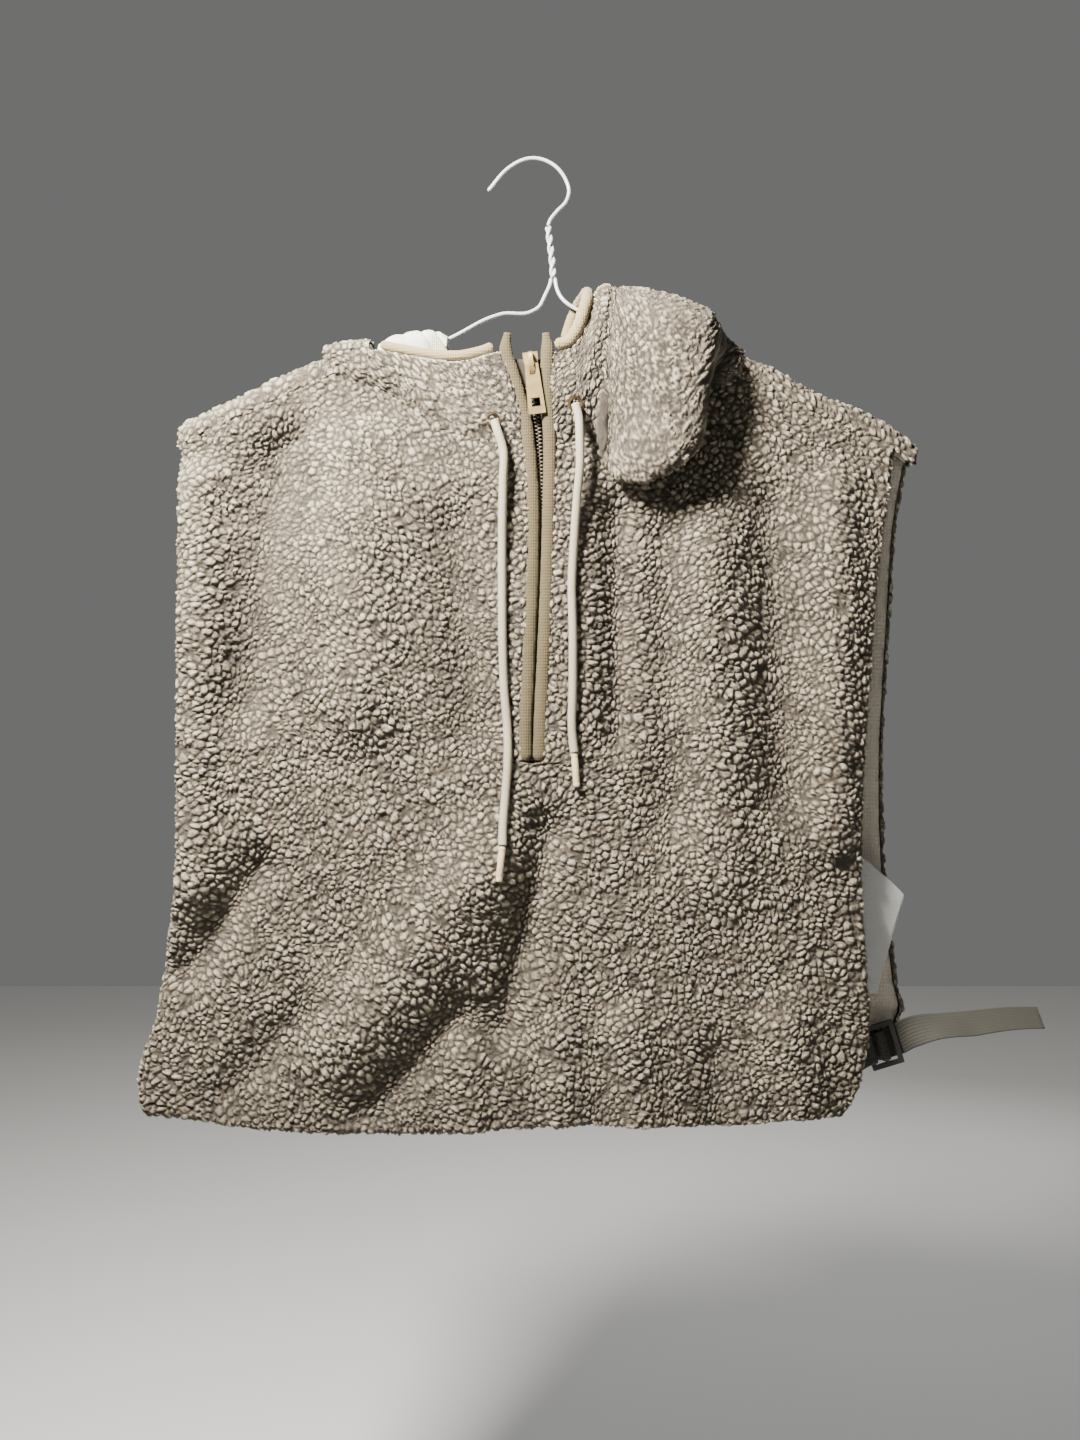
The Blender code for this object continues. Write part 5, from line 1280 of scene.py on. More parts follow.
def pile_piece(name, mid, outward, a, b, foot=1.8, depth=3.5, wraps=(), sink=None, parts=1,
               shade_painter=None):
    """A sheet of pile on a middle surface, in as many pieces as parts says, one below the other.

    sink lowers it where it dips into a seam. shade_painter is a function of the points and of their
    distance from the first row. It gives a share that paints shade on the pile where it lies deep
    in a fold, and, above 1, paints light where the cloth stands out.
    """
    direction = towards(grid_normals(mid).reshape(-1, 3), outward).reshape(mid.shape)
    base = mid if sink is None else mid - direction * sink[..., None]
    for side, degrees in wraps:
        base, direction, a, b = wrap_edge(base, direction, a, b, side, degrees)
    points, shade = pile_points(base, direction, a, b, foot, depth)
    if shade_painter is not None:
        shade = shade * shade_painter(points, b)
    middle = points.shape[0] // 2, points.shape[1] // 2
    down = points[middle[0] + 1, middle[1]] - points[middle]
    along = points[middle[0], middle[1] + 1] - points[middle]
    turned = np.cross(down, along) @ direction[middle] < 0
    made = []
    cuts = np.linspace(0, points.shape[0] - 1, parts + 1).astype(int)
    for part, (first, last) in enumerate(zip(cuts[:-1], cuts[1:])):
        quads = grid_faces(last - first + 1, points.shape[1])
        label = name if parts == 1 else f"{name}_{part + 1}"
        made.append(new_piece(label, points[first:last + 1], quads[:, ::-1] if turned else quads,
                              FLEECE_LOOK, tuft=shade[first:last + 1]))
        print(label, "has", 2 * len(quads), "triangles")
    return made


def dip(distance, width=5.0, deep=2.6):
    """How far the pile sinks at a distance from a seam: a quarter circle's shape."""
    near = np.clip(1.0 - distance / width, 0.0, 1.0)
    return deep * (1.0 - np.sqrt(np.maximum(1.0 - near ** 2, 0.0)))


def run_lengths(mid):
    """Distances in millimetres along the rows and down the columns of a grid, for the pile."""
    across = np.linalg.norm(np.diff(mid, axis=1), axis=-1)
    down = np.linalg.norm(np.diff(mid, axis=0), axis=-1)
    a = np.concatenate([np.zeros((mid.shape[0], 1)), np.cumsum(across, axis=1)], axis=1)
    b = np.concatenate([np.zeros((1, mid.shape[1])), np.cumsum(down, axis=0)], axis=0)
    return a, b


tuft_heights = tufts(np.linspace(0, 40, 200)[None], np.zeros((1, 200)))
print("a tuft's top", round(float(tuft_heights.max()), 2))

# %% [markdown]
# The front panel comes in two halves, so that neither mesh is too heavy. They meet below the zip,
# where they share the same cloth coordinates, so the pile runs on from one to the other.

# %% Front panel
FINE = 1.05
PANEL_FRONT = 1.2
PANEL_BACK = 2.8


def painted_fold_shading(points, _):
    """Painted shade where the cloth lies back in a fold and at the hem, painted light where it
    stands out.
    """
    x, z = points[..., 0], points[..., 2]
    # Painted light and shade by fold depth, and painted shade towards the hem.
    by_fold = np.clip(1.0 + 0.014 * folds(x, z, FRONT_FOLDS), 0.80, 1.08)
    return by_fold - 0.12 * smoothstep(-590.0, -640.0, z)


def front_pile(side):
    """The pile on half of the front, rounded over its side edge and hem and dipped at its seams."""
    mid = front_half(side, int(480 / FINE), int(232 / FINE))
    zip_edge = "right" if side == "left" else "left"
    if side == "right":
        mid = mid[:, ::-1]
    return pile_piece(f"front_pile_{side}", mid, (0, -1, 0), mid[..., 0], mid[..., 2],
                      parts=2, shade_painter=painted_fold_shading,
                      wraps=[("top", 75), (zip_edge, 70), (side, 170), ("bottom", 170)])


def backing(name, mids, outward, front, back, look=BACKING_LOOK):
    """The knitted backing under the pile, as one closed wall or several joined in one piece."""
    points, faces, count = [], [], 0
    for mid in mids:
        some_points, some_faces = wall(mid, front, back, outward)
        points.append(some_points)
        faces.append(some_faces + count)
        count += len(some_points)
    return new_piece(name, np.concatenate(points), np.concatenate(faces), look)


front_left_pile = front_pile("left")
front_right_pile = front_pile("right")
front_backing = backing("front_backing", [front_half("left", 90, 44), front_half("right", 90, 44)],
                        (0, -1, 0), PANEL_FRONT, PANEL_BACK)
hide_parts("front_panel")

# %% [markdown]
# The back panel rolls forward over both shoulders and is sewn to the front there. Its pile is a
# little coarser, because it is mostly seen from further away.

# %% Back panel
COARSE = 2.12


def back_pile():
    """The pile on the back below the shoulder fold."""
    mid = back_grid(int(485 / COARSE), int(470 / COARSE))
    return pile_piece("back_pile", mid, (0, 1, 0), mid[..., 0], mid[..., 2],
                      wraps=[("left", 170), ("right", 170), ("bottom", 170)])


def shoulder_pile(side, x_from, x_to):
    """The pile on the roll over one shoulder."""
    mid = shoulder_grid(x_from, x_to, int(36 / FINE), int(abs(x_to - x_from) / FINE))
    _, b = run_lengths(mid)
    return pile_piece(f"shoulder_pile_{side}", mid, (0, 0, 1), mid[..., 0], b,
                      wraps=[("top", 60), (side, 150)])


back_piles = [*back_pile(), *shoulder_pile("left", BACK_LEFT_X, -126.0),
              *shoulder_pile("right", 136.0, BACK_RIGHT_X)]
shoulders = [shoulder_grid(BACK_LEFT_X, -130.0, 14, 24), shoulder_grid(139.0, BACK_RIGHT_X, 14, 26)]
back_backing = backing("back_backing", [back_grid(80, 80)], (0, 1, 0),
                       PANEL_FRONT, PANEL_BACK)
shoulder_backing = backing("shoulder_backing", shoulders, (0, 0, 1),
                           PANEL_FRONT, PANEL_BACK)
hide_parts("back_panel")

# %% [markdown]
# The hood has slid half off the hanger. Its left stretch stands up from the neck seam like a
# collar, its right side rolls over the shoulder and hangs down over the chest, and the rest of it
# hangs behind the back panel as a flat pouch.

# %% Hood
HOOD_FRONT = 0.9
HOOD_BACK = 2.3
HOOD_FOOT = 1.5
HOOD_PILE_DEPTH = 3.2
HOOD_POUCH_PILE_DEPTH = 2.6
HOOD_LEFT_X = -131.0
HOOD_ROLL_X = -104.0
HOOD_ZIP_X = -17.0
ROLL_STATION = 1.87
LAST_STATION = 11.0


def hood_left_pile():
    """The collar-like stretch, and the part that rolls over the left shoulder."""
    x = np.linspace(HOOD_ROLL_X, HOOD_ZIP_X, int(88 / FINE))
    mid = hood_left_grid(x, int(52 / FINE), 0)
    a, b = run_lengths(mid)
    a = a - a[:, -1:] + HOOD_ZIP_X
    below_binding = dip(b[-1:] - b, 5.0, 2.2)
    stretch = pile_piece("hood_left_pile", mid, (0, -1, 0), a, b,
                         HOOD_FOOT, HOOD_PILE_DEPTH, wraps=[("top", 75), ("right", 70)],
                         sink=below_binding)
    x = np.linspace(HOOD_LEFT_X, HOOD_ROLL_X, int(27 / FINE))
    mid = hood_left_grid(x, int(30 / FINE), int(75 / FINE))
    a, b = run_lengths(mid)
    a = a - a[:, -1:] + HOOD_ROLL_X
    over = pile_piece("hood_left_roll_pile", mid, (0, -0.4, 1), a, b,
                      HOOD_FOOT, HOOD_PILE_DEPTH, wraps=[("top", 75), ("left", 150)])
    return stretch + over


def painted_lip_shade(points, from_seam):
    """Painted shade: 1 on the open pile, and less on the part that is folded in between the hood
    and the chest.
    """
    x = points[..., 0]
    hangs = smoothstep(40.0, 47.0, x) * smoothstep(130.0, 114.0, x)
    return 1.0 - 0.8 * hangs * smoothstep(30.0, 15.0, from_seam)


def hood_right_pile():
    """The right side: first the part beside the zip, then the roll."""
    mid = hood_right_grid(0.0, ROLL_STATION, int(34 / FINE), int(75 / FINE), 0)
    a, b = run_lengths(mid)
    a = a - a[:, -1:]
    beside = pile_piece("hood_right_pile", mid, (0, -1, 0), a, b,
                        HOOD_FOOT, HOOD_PILE_DEPTH, wraps=[("top", 75), ("left", 70)],
                        sink=dip(b[-1:] - b, 4.0, 1.8))
    mid = hood_right_grid(ROLL_STATION, LAST_STATION, int(190 / FINE), int(130 / FINE),
                          int(70 / FINE), gather=1.45)
    a, b = run_lengths(mid)
    roll = pile_piece("hood_roll_pile", mid, (0, -1, 0.3), a, b,
                      HOOD_FOOT, HOOD_PILE_DEPTH, wraps=[("top", 75)], shade_painter=painted_lip_shade)
    return beside + roll


def hood_back_pile():
    """The outer layer of the pouch behind, and most of the way round its fold."""
    _, _, turn, outer = hood_back_grid(int(190 / COARSE), int(240 / COARSE))
    mid = np.concatenate([turn[2:], outer])
    _, b = run_lengths(mid)
    return pile_piece("hood_back_pile", mid, (0, 1, 0), mid[..., 0], b,
                      HOOD_FOOT, HOOD_POUCH_PILE_DEPTH, wraps=[("left", 120), ("right", 120)])


left_piles = hood_left_pile()
right_piles = hood_right_pile()
behind_pile = hood_back_pile()
hood_left_backing = backing("hood_left_backing", [
    hood_left_grid(np.linspace(HOOD_ROLL_X, HOOD_ZIP_X, 36), 18, 0),
    hood_left_grid(np.linspace(HOOD_LEFT_X, HOOD_ROLL_X - 0.5, 12), 14, 22),
], (0, -1, 0.2), HOOD_FRONT, HOOD_BACK)
# The right side's backing is coloured dark as painted shade in the valley beside the roll.
hood_right_backing = backing("hood_right_backing", [
    hood_right_grid(0.0, 1.86, 12, 24, 0),
    hood_right_grid(1.88, LAST_STATION, 70, 48, 22),
], (0, -1, 0.3), HOOD_FRONT, HOOD_BACK, PAINTED_SHADE_BACKING_LOOK)
over, inner, turn, outer = hood_back_grid(24, 60)
hood_back_backing = backing("hood_back_backing", [np.concatenate([over, inner, turn, outer])],
                            (0, -1, 0), HOOD_BACK, HOOD_FRONT)
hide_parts("hood_left")
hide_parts("hood_right")
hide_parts("hood_back")

# %% [markdown]
# The zip is edged by two tubes of jersey, which pucker where they are stitched. A ripple across
# each tube, uneven in size, makes the puckers. Between them lies the tape with its teeth.

# %% Zip
ZIP_FOOT_Z = ZIP_END_Z + RIM + 3 * GAP
ZIP_TOP_Z = -133.0
TAPE_TOP_Z = -149.0
TAPE_REACH = 3.0
TOOTH_PITCH = 2.4
TOOTH_HALF_SIZE = (1.15, 0.75, 0.5)
BINDING_PUFF = 0.6
TUBE_SIDES = 28


def puckers(along, around, pitch, seed):
    """Uneven ripples across a tube: smooth noise, much longer round the tube than along it."""
    coarse = value_noise(along + seed, around * 2.0 + seed, pitch)
    fine = value_noise(along * 1.7 + seed + 31.0, around * 3.0, pitch * 0.6)
    return 0.65 * coarse + 0.35 * fine - 0.5


def zip_binding(side):
    """A puffy tube of jersey down one edge of the slit, pinched at its upper end."""
    count = 240
    z = np.linspace(ZIP_FOOT_Z, ZIP_TOP_Z, count)
    path = np.stack([column(ZIP, side, "z", z), np.full_like(z, ZIP_Y), z], axis=1)
    share = np.linspace(0.0, 1.0, count)[:, None, None]
    pinch = 1.0 - 0.45 * smoothstep(0.955, 1.0, share) - 0.4 * smoothstep(0.012, 0.0, share)
    inward = 1.0 if side == "left" else -1.0
    path[:, 0] -= BINDING_PUFF / 2 * inward * smoothstep(ZIP_FOOT_Z, ZIP_FOOT_Z + 22.0, z)
    angle = np.linspace(0.0, 2 * np.pi, TUBE_SIDES, endpoint=False)
    ripple = puckers(z[:, None], 3.0 * np.cos(angle)[None, :], 2.6, 5.0 if side == "left" else 60.0)
    stitched = np.exp(-((angle - (0.15 if side == "right" else np.pi - 0.15)) / 0.35) ** 2)
    size = 1.0 + 0.10 * ripple - 0.10 * stitched * (0.6 + 0.4 * np.sin(z[:, None] * 2.4))
    outline = ellipse(BINDING_WIDTH + BINDING_PUFF, BINDING_DEPTH, TUBE_SIDES)
    profile = outline[None] * pinch * size[..., None]
    rings, faces = swept(path, profile, (1, 0, 0))
    made = new_piece(f"binding_{side}", rings, faces, JERSEY_LOOK)
    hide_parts(f"zip_binding_{side}")
    return made


def zip_tape():
    """The tape behind the bindings."""
    z = np.linspace(ZIP_FOOT_Z, TAPE_TOP_Z, 90)[:, None]
    left = column(ZIP, "left", "z", z) - TAPE_REACH
    right = column(ZIP, "right", "z", z) + TAPE_REACH
    x = left + (right - left) * np.linspace(0.0, 1.0, 9)
    y = np.full(x.shape, ZIP_Y + BINDING_DEPTH / 2 + GAP + 0.5)
    mid = np.stack([x, y, np.broadcast_to(z, x.shape)], axis=-1)
    points, faces = wall(mid, 0.45, 0.5, (0, -1, 0))
    made = new_piece("tape", points, faces, TAPE_LOOK)
    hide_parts("zip_tape")
    return made


def zip_teeth():
    """Small moulded teeth, left and right in turn, on the tape between the bindings."""
    z = np.arange(ZIP_FOOT_Z + 1.0, TAPE_TOP_Z - 18.0, TOOTH_PITCH / 2)
    left, right = column(ZIP, "left", "z", z), column(ZIP, "right", "z", z)
    middle = 0.5 * (left + right)
    gap = 0.5 * (right - left) - BINDING_WIDTH / 2
    side = np.where(np.arange(len(z)) % 2, 1.0, -1.0)
    open_share = smoothstep(-175.0, -165.0, z)
    x = middle + side * (0.9 + open_share * np.maximum(gap - 1.2, 0.0))
    corners = [(i, j, k) for i in (-1, 1) for j in (-1, 1) for k in (-1, 1)]
    box = np.array(corners, float) * TOOTH_HALF_SIZE
    faces = np.array([(0, 1, 3, 2), (4, 6, 7, 5), (0, 4, 5, 1),
                      (2, 3, 7, 6), (0, 2, 6, 4), (1, 5, 7, 3)])
    centres = np.stack([x, np.full_like(z, ZIP_Y + BINDING_DEPTH / 2 - 0.75), z], axis=1)
    points = (centres[:, None] + box).reshape(-1, 3)
    all_faces = (faces[None] + 8 * np.arange(len(z))[:, None, None]).reshape(-1, 4)
    return new_piece("zip_teeth", points, all_faces, TEETH_LOOK, smooth=False)


# The teeth are coloured dark: painted shade for the narrow slit between the bindings.
TEETH_LOOK = plastic_look("zip_teeth", (0.10, 0.08, 0.05), 0.4)
bindings = [zip_binding("left"), zip_binding("right")]
tape_piece = zip_tape()
teeth_piece = zip_teeth()
print("zip pieces", [piece.name for piece in (*bindings, tape_piece, teeth_piece)])

# %% [markdown]
# Small edges catch light, so the metal and plastic pieces of the solid model get a fine bevel. It
# is a modifier, so their shapes stay the solid model's.

# %% Metal and plastic that the solid model already shapes


def repaint(node, look, bevel=0.0):
    """Gives a carried-over solid its finished material, and eased edges."""
    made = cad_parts[node]
    made.data.materials.clear()
    made.data.materials.append(look)
    if bevel:
        eased = made.modifiers.new("Eased", "BEVEL")
        eased.width = bevel * MM
        eased.segments = 2
        eased.limit_method = "ANGLE"
        eased.angle_limit = np.radians(35)


for node, look, bevel in [
    ("zip_slider", CHAMPAGNE_LOOK, 0.18), ("zip_pull", CHAMPAGNE_LOOK, 0.18),
    ("eyelet_left", BRONZE_LOOK, 0.3), ("eyelet_right", BRONZE_LOOK, 0.3),
    ("buckle_left", PLASTIC_LOOK, 0.45), ("buckle_right", PLASTIC_LOOK, 0.45),
]:
    repaint(node, look, bevel)
print("repainted metal and plastic")

# %% [markdown]
# The edge bindings of the hood are puckered tubes, like the zip's: flat along the hood's top, and
# round where one loops over the wire. The lining is smooth, with a few creases where it is bunched
# round the hanger's wire.

# %% Hood bindings and lining
EDGE_LEFT_X = (-131.0, -122.0, -113.0, -104.0, -94.0, -81.0,
               -68.0, -56.0, -44.0, -33.0, -24.0, -17.0)


def edge_left():
    """The flat binding along the top of the hood's left stretch."""
    top = hood_left_grid(np.array(EDGE_LEFT_X), 8, 0)[-1]
    inside = top[(top[:, 0] > -97) & (top[:, 0] < -21)]
    ends = [inside[0] + (-2.5, 0.0, 0.6), inside[-1] + (3.0, 0.0, 1.4)]
    line = np.concatenate([ends[:1], inside, ends[1:]]) + (0.0, 0.0, RIM + GAP + 3.0)
    path = route(line, 110)
    return binding_tube("hood_binding_left", path, 4.0, 6.0, (0, 1, 0), "hood_edge_left")


def edge_right():
    """The binding that leaves the zip, loops over the hanger's right arm and goes down behind."""
    path = route(HOOD_LOOP_ROUTE, 150)
    return binding_tube("hood_binding_right", path, 8.0, 8.0, (1, 0, 0), "hood_edge_right")


def edge_back():
    """The binding along the face edge behind."""
    outer = hood_back_grid(6, 40)[3]
    edge = outer[-1]
    x = np.linspace(-86.0, 22.0, 110)
    z = np.interp(x, edge[:, 0], edge[:, 2]) + RIM + 2 * GAP + 3.0
    path = np.stack([x, np.full_like(x, HOOD_OUTER_Y), z], axis=1)
    return binding_tube("hood_binding_back", path, 4.0, 6.0, (0, 1, 0), "hood_edge_back")


def binding_tube(name, path, wide, deep, across, node):
    """A puckered tube of jersey that stands for one of the solid's bindings."""
    along = np.concatenate([[0.0], np.cumsum(np.linalg.norm(np.diff(path, axis=0), axis=1))])
    angle = np.linspace(0.0, 2 * np.pi, TUBE_SIDES, endpoint=False)
    ripple = puckers(along[:, None], 3.0 * np.cos(angle)[None, :], 2.4, float(len(name)))
    share = along / along[-1]
    ends = smoothstep(0.0, 0.02, share) * smoothstep(1.0, 0.98, share)
    size = (1.0 + 0.12 * ripple) * (0.6 + 0.4 * ends[:, None])
    profile = ellipse(wide, deep, TUBE_SIDES)[None] * size[..., None]
    rings, faces = swept(path, profile, across)
    made = new_piece(name, rings, faces, PALE_JERSEY_LOOK)
    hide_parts(node)
    return made


# Creases of the lining: x at its top, how far each slants, and how wide and deep it is.
Crease = namedtuple("Crease", "x slant half_width deep")
LINING_CREASES = [
    Crease(-63.0, 0.9, 1.7, 1.9),
    Crease(-72.0, 0.6, 1.8, 1.1),
    Crease(-84.0, 0.4, 2.2, 1.0),
]


def lining():
    """The lining over the hanger's left arm: a front leg, an arch over the wire and a back leg."""
    x = np.linspace(-99.0, -54.5, 60)
    top = column(LINING_TOP, "z", "x", x) - 4.0 * smoothstep(-66.0, -54.5, x) ** 2
    front_y = -41.5 + 6.0 * smoothstep(-70, -54, x)
    back_y = -9.0 - 2.0 * smoothstep(-70, -54, x)
    angle = np.linspace(0.0, np.pi, 40)[:, None]
    y = 0.5 * (front_y + back_y) - 0.5 * (back_y - front_y) * np.cos(angle)
    z = top - 12.0 + 12.0 * np.sin(angle) ** 0.8
    drop = np.linspace(-14.0, 0.0, 12)[:-1, None]
    front_leg = np.stack(np.broadcast_arrays(x, front_y, top - 12.0 + drop), axis=-1)
    back_leg = np.stack(np.broadcast_arrays(x, back_y, top - 12.0 + drop[::-1]), axis=-1)
    arch = np.stack(np.broadcast_arrays(x, y, z), axis=-1)
    mid = np.concatenate([front_leg, arch, back_leg])
    normal = towards(grid_normals(mid).reshape(-1, 3), (0, -0.2, 1)).reshape(mid.shape)
    crease = 1.6 * (value_noise(mid[..., 0], mid[..., 2] * 0.5 + 12.0, 9.0) - 0.5)
    for line in LINING_CREASES:
        away = mid[..., 0] - line.x + line.slant * (mid[..., 2] - top)
        crease = crease - line.deep * np.exp(-(away / line.half_width) ** 2)
    mid = mid + normal * crease[..., None]
    points, faces = wall(mid, 1.0, 0.9, (0, -0.2, 1))
    made = new_piece("lining", points, faces, LINING_LOOK)
    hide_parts("hood_lining")
    return made


edge_pieces = [edge_left(), edge_right(), edge_back()]
lining_piece = lining()
print("hood trims", [piece.name for piece in (*edge_pieces, lining_piece)])

# %% [markdown]
# Webbing is woven with raised ribs along its length. The ribs are a ripple across the outline that
# is carried along the strap's route, and the weave is left to the material.

# %% Straps
WEBBING_WIDTH = 20.0
WEBBING_THICKNESS = 1.4
RIBS = 9


def ribbed_profile():
    """A flat outline with rounded ribs on both faces."""
    across = np.linspace(-0.5, 0.5, 4 * RIBS + 1)
    edge = np.sqrt(np.clip(1.0 - (2 * across) ** 12, 0.0, 1.0))
    rib = 0.72 + 0.28 * np.abs(np.cos(np.pi * RIBS * across))
    half = WEBBING_THICKNESS / 2 * rib * np.maximum(edge, 0.25)
    face = np.stack([across * WEBBING_WIDTH, half], axis=1)
    lift = np.concatenate([rib, rib[::-1]])
    return np.concatenate([face, face[::-1] * (1, -1)]), lift


def strap_axes(at):
    """X and Z of the strap's run (u) and of the buckle's height (v) at a fastening."""
    slope = np.radians(at.slope)
    run = np.array([at.side * np.cos(slope), 0.0, np.sin(slope)])
    height = np.array([-at.side * np.sin(slope), 0.0, np.cos(slope)])
    return run, height


def from_strap(at, u, y):
    """Points of a strap's route in the vest's own frame."""
    run, _ = strap_axes(at)
    return np.array([at.x, 0.0, at.z]) + u[:, None] * run + y[:, None] * (0.0, 1.0, 0.0)


def finer(values, count):
    """Rows of numbers read as a smooth curve over their own index."""
    values = np.asarray(values, float)
    index = np.arange(len(values))
    at = np.linspace(0, len(values) - 1, count)
    return np.stack([through(index, values[:, k], at) for k in range(values.shape[1])], axis=1)


def webbing(name, path, wide, node, count):
    """Ribbed webbing along a path, smoothed between its given points."""
    wide = np.broadcast_to(wide, path.shape)
    both = finer(np.concatenate([path, wide], axis=1), count)
    profile, lift = ribbed_profile()
    rings, faces = swept(both[:, :3], profile, both[:, 3:])
    tuft = np.tile(lift, count + 2)
    made = new_piece(name, rings, faces, WEBBING_SHADOW_PAINT, tuft=tuft)
    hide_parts(node)
    return made


def strap_loop(side, at):
    """The short loop that holds a buckle to the inside of the front panel."""
    u, y = np.array(LOOP_ROUTE).T
    bar_y = LOOP_ROUTE[4][1]
    reach = (at.front_y - bar_y) / (LOOP_ROUTE[0][1] - bar_y)
    y = np.where(y < bar_y, bar_y + (y - bar_y) * reach, y)
    _, height = strap_axes(at)
    path = from_strap(at, u, y)
    return webbing(f"webbing_loop_{side}", path, height, f"strap_loop_{side}", 60)


def strap_left():
    """The left strap, with its free end tucked behind the front."""
    u, y = np.array(STRAP_ROUTE + LEFT_TAIL).T
    _, height = strap_axes(FASTENING_LEFT)
    return webbing("webbing_left", from_strap(FASTENING_LEFT, u, y), height, "strap_left", 110)


def strap_right():
    """The right strap, with its free end twisted and standing out from the side."""
    u, y = np.array(STRAP_ROUTE).T
    _, height = strap_axes(FASTENING_RIGHT)
    at_buckle = from_strap(FASTENING_RIGHT, u, y)
    tail = np.array([(row.x, row.y, row.z) for row in RIGHT_TAIL])
    twist = np.radians([0.0] * len(at_buckle) + [row.twist for row in RIGHT_TAIL])[:, None]
    wide = np.cos(twist) * height + np.sin(twist) * np.array([0.0, 1.0, 0.0])
    path = np.concatenate([at_buckle, tail])
    return webbing("webbing_right", path, wide, "strap_right", 130)


straps = [strap_loop("left", FASTENING_LEFT), strap_loop("right", FASTENING_RIGHT),
          strap_left(), strap_right()]
print("straps", [piece.name for piece in straps])

# %% [markdown]
# A bare woven label curls out of the right side. A flat tape faces the inside of each side edge,
# which covers the cut edge of the fleece. Both are thin walls on a grid, like the panels.

# %% Label and facings


def label():
    """The label, curling to the back as it comes out of the side."""
    along = np.linspace(0.0, 1.0, 36)
    down = np.linspace(0.0, 1.0, 60)[:, None]
    top_x = 202.0 + 45.0 * along
    top_z = -462.0 - 34.5 * along ** 1.3
    foot_x = 198.0 + 30.5 * along
    foot_z = -556.0 - 4.5 * along
    x = top_x + (foot_x - top_x) * down
    z = top_z + (foot_z - top_z) * down
    y = -45.2 + 12.5 * along ** 1.2 + 1.6 * np.sin(np.pi * down) * along
    points, faces = wall(np.stack([x, y, z], axis=-1), 0.3, 0.3, (0, -1, 0))
    made = new_piece("label", points, faces, LABEL_LOOK)
    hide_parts("care_label")
    return made


def facing(side):
    """The tape inside a side edge of the front, moved back from the front's own surface."""
    mid = front_half(side, 90, 44)
    normal = towards(grid_normals(mid).reshape(-1, 3), (0, 1, 0)).reshape(mid.shape)
    inner = mid + normal * (FLEECE / 2 + 1.2)
    share = np.linspace(-0.3, 2.6, 8)[:, None]
    rows = slice(12, 80)
    strip = inner[rows, 0][:, None] + (inner[rows, 1] - inner[rows, 0])[:, None] * share
    points, faces = wall(strip, 0.5, 0.5, (0, 1, 0))
    made = new_piece(f"facing_{side}", points, faces, JERSEY_LOOK)
    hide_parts(f"side_facing_{side}")
    return made


label_piece = label()
facings = [facing("left"), facing("right")]
print("label and facings", [piece.name for piece in (label_piece, *facings)])

# %% [markdown]
# The hanger is one plastic-coated wire. At its neck the two ends are twisted round each other, so
# the neck is a pair of helices: points that go round the neck's line as they go down it.

# %% Hanger
WIRE = 2.4


def bent(points, longest):
    """A smooth path that keeps every given point, with no step longer than longest."""
    points = np.asarray(points, float)
    legs = np.linalg.norm(np.diff(points, axis=0), axis=1)
    run = np.concatenate([[0.0], np.cumsum(legs)])
    steps = np.ceil(legs / longest).astype(int)
    spans = [np.linspace(run[i], run[i + 1], n + 1)[1:] for i, n in enumerate(steps)]
    at = np.concatenate([[0.0], *spans])
    return np.stack([through(run, points[:, k], at) for k in range(3)], axis=1)


def wire(name, path, node=None):
    """A round coated wire with eased ends."""
    share = np.ones(len(path))
    share[0] = share[-1] = 0.6
    profile = ellipse(WIRE, WIRE, 20)[None] * share[:, None, None]
    rings, faces = swept(path, profile, carried(path))
    made = new_piece(name, rings, faces, WIRE_LOOK)
    if node:
        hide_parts(node)
    return made


def twisted(line, turns, phase):
    """A helix round a path, close to it: half a wire's thickness away."""
    sideways = carried(line)
    run = np.gradient(line, axis=0)
    run = run / np.linalg.norm(run, axis=1, keepdims=True)
    other = np.cross(run, sideways)
    angle = phase + np.linspace(0.0, 2 * np.pi * turns, len(line))[:, None]
    return line + (WIRE / 2 - 0.1) * (sideways * np.cos(angle) + other * np.sin(angle))


def arm_seat(x):
    """Where the hanger's wire lies at x to carry the fold over the shoulder."""
    columns = np.linspace(BACK_LEFT_X, BACK_RIGHT_X, 24)
    fold_z = shoulder_z(columns)
    slope = np.interp(x, columns, np.gradient(fold_z, columns))
    drop = (FLEECE / 2 + WIRE / 2 + 3 * GAP) * np.hypot(1.0, slope)
    return (x, SHOULDER_Y, np.interp(x, columns, fold_z) + SHOULDER_RADIUS - drop)


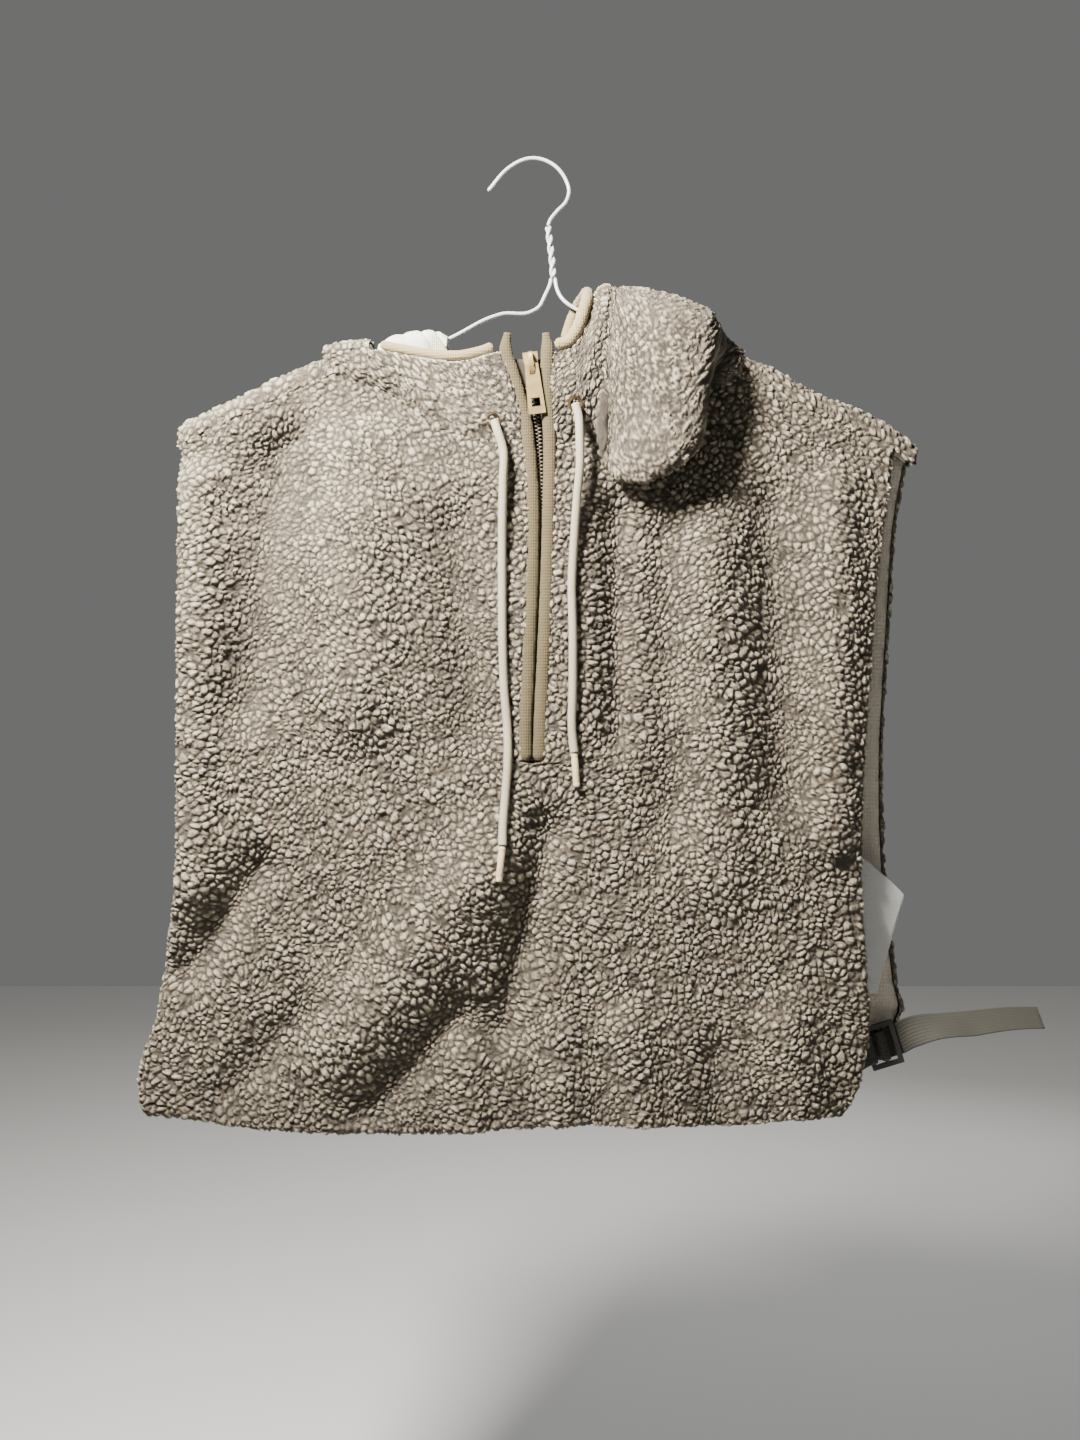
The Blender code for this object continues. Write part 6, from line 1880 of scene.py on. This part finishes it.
neck_line = bent(NECK_ROUTE, 0.8)
arm_left = bent(ARM_LEFT_ROUTE + [arm_seat(-155.0), arm_seat(-172.0)] + ARM_LEFT_END, 2.5)
arm_right = bent(ARM_RIGHT_ROUTE + [arm_seat(165.0), arm_seat(190.0)] + ARM_RIGHT_END, 2.5)
wires = [
    wire("wire_hook", bent(HOOK_ROUTE, 1.5), "hanger_hook"),
    wire("wire_neck_one", twisted(neck_line, 2.25, 0.0), "hanger_neck"),
    wire("wire_neck_two", twisted(neck_line, 2.25, np.pi), None),
    wire("wire_arm_left", arm_left, "hanger_arm_left"),
    wire("wire_arm_right", arm_right, "hanger_arm_right"),
    wire("wire_bar", bent(BAR_ROUTE, 6.0), "hanger_bar"),
]
print("wires", len(wires))

# %% [markdown]
# The light comes from the upper left, as a window would give it, with a weak fill from the right.
# A plain pale floor stands for the studio. Only the vest and its hanger are part of the object.

# %% Light and floor
FLOOR_Z = -1100.0
FLOOR_HALF = 3000.0


def area_light(name, place, target, size, watts, colour):
    """A soft square light that points at a target."""
    data = bpy.data.lights.new(name, "AREA")
    data.shape = "SQUARE"
    data.size = size
    data.energy = watts
    data.color = colour
    made = bpy.data.objects.new(name, data)
    made.location = place
    made.rotation_euler = (Vector(target) - Vector(place)).to_track_quat("-Z", "Y").to_euler()
    bpy.context.scene.collection.objects.link(made)


def studio_floor():
    """A plain pale plane below the vest."""
    corners = [(-1, -1), (1, -1), (1, 1), (-1, 1)]
    points = np.array([(x * FLOOR_HALF, y * FLOOR_HALF, FLOOR_Z) for x, y in corners])
    mesh = bpy.data.meshes.new("studio_floor")
    mesh.from_pydata((points * MM).tolist(), [], [(0, 1, 2, 3)])
    made = bpy.data.objects.new("studio_floor", mesh)
    look = Recipe("floor_paint")
    mottle = look.noise(3.0, 3.0, 0.5)
    tone = look.mix(mottle, (0.70, 0.70, 0.69, 1.0), (0.74, 0.74, 0.73, 1.0))
    mesh.materials.append(look.finish(Base_Color=tone, Roughness=0.8))
    bpy.context.scene.collection.objects.link(made)


def studio_world():
    """An even pale surround."""
    world = bpy.data.worlds.new("studio")
    world.use_nodes = True
    background = world.node_tree.nodes["Background"]
    background.inputs["Color"].default_value = (0.80, 0.80, 0.79, 1.0)
    background.inputs["Strength"].default_value = 0.20
    bpy.context.scene.world = world


area_light("key", (-0.33, -0.49, 0.23), (0.0, 0.0, -0.28), 0.15, 60.0, (1.0, 0.965, 0.90))
area_light("fill", (1.2, -1.4, -0.1), (0.0, 0.0, -0.4), 1.4, 1.5, (0.97, 0.98, 1.0))
area_light("back", (0.5, 1.5, 0.3), (0.0, 0.0, -0.35), 1.3, 13.0, (1.0, 0.99, 0.97))
studio_floor()
studio_world()
print("lights", len(bpy.data.lights))
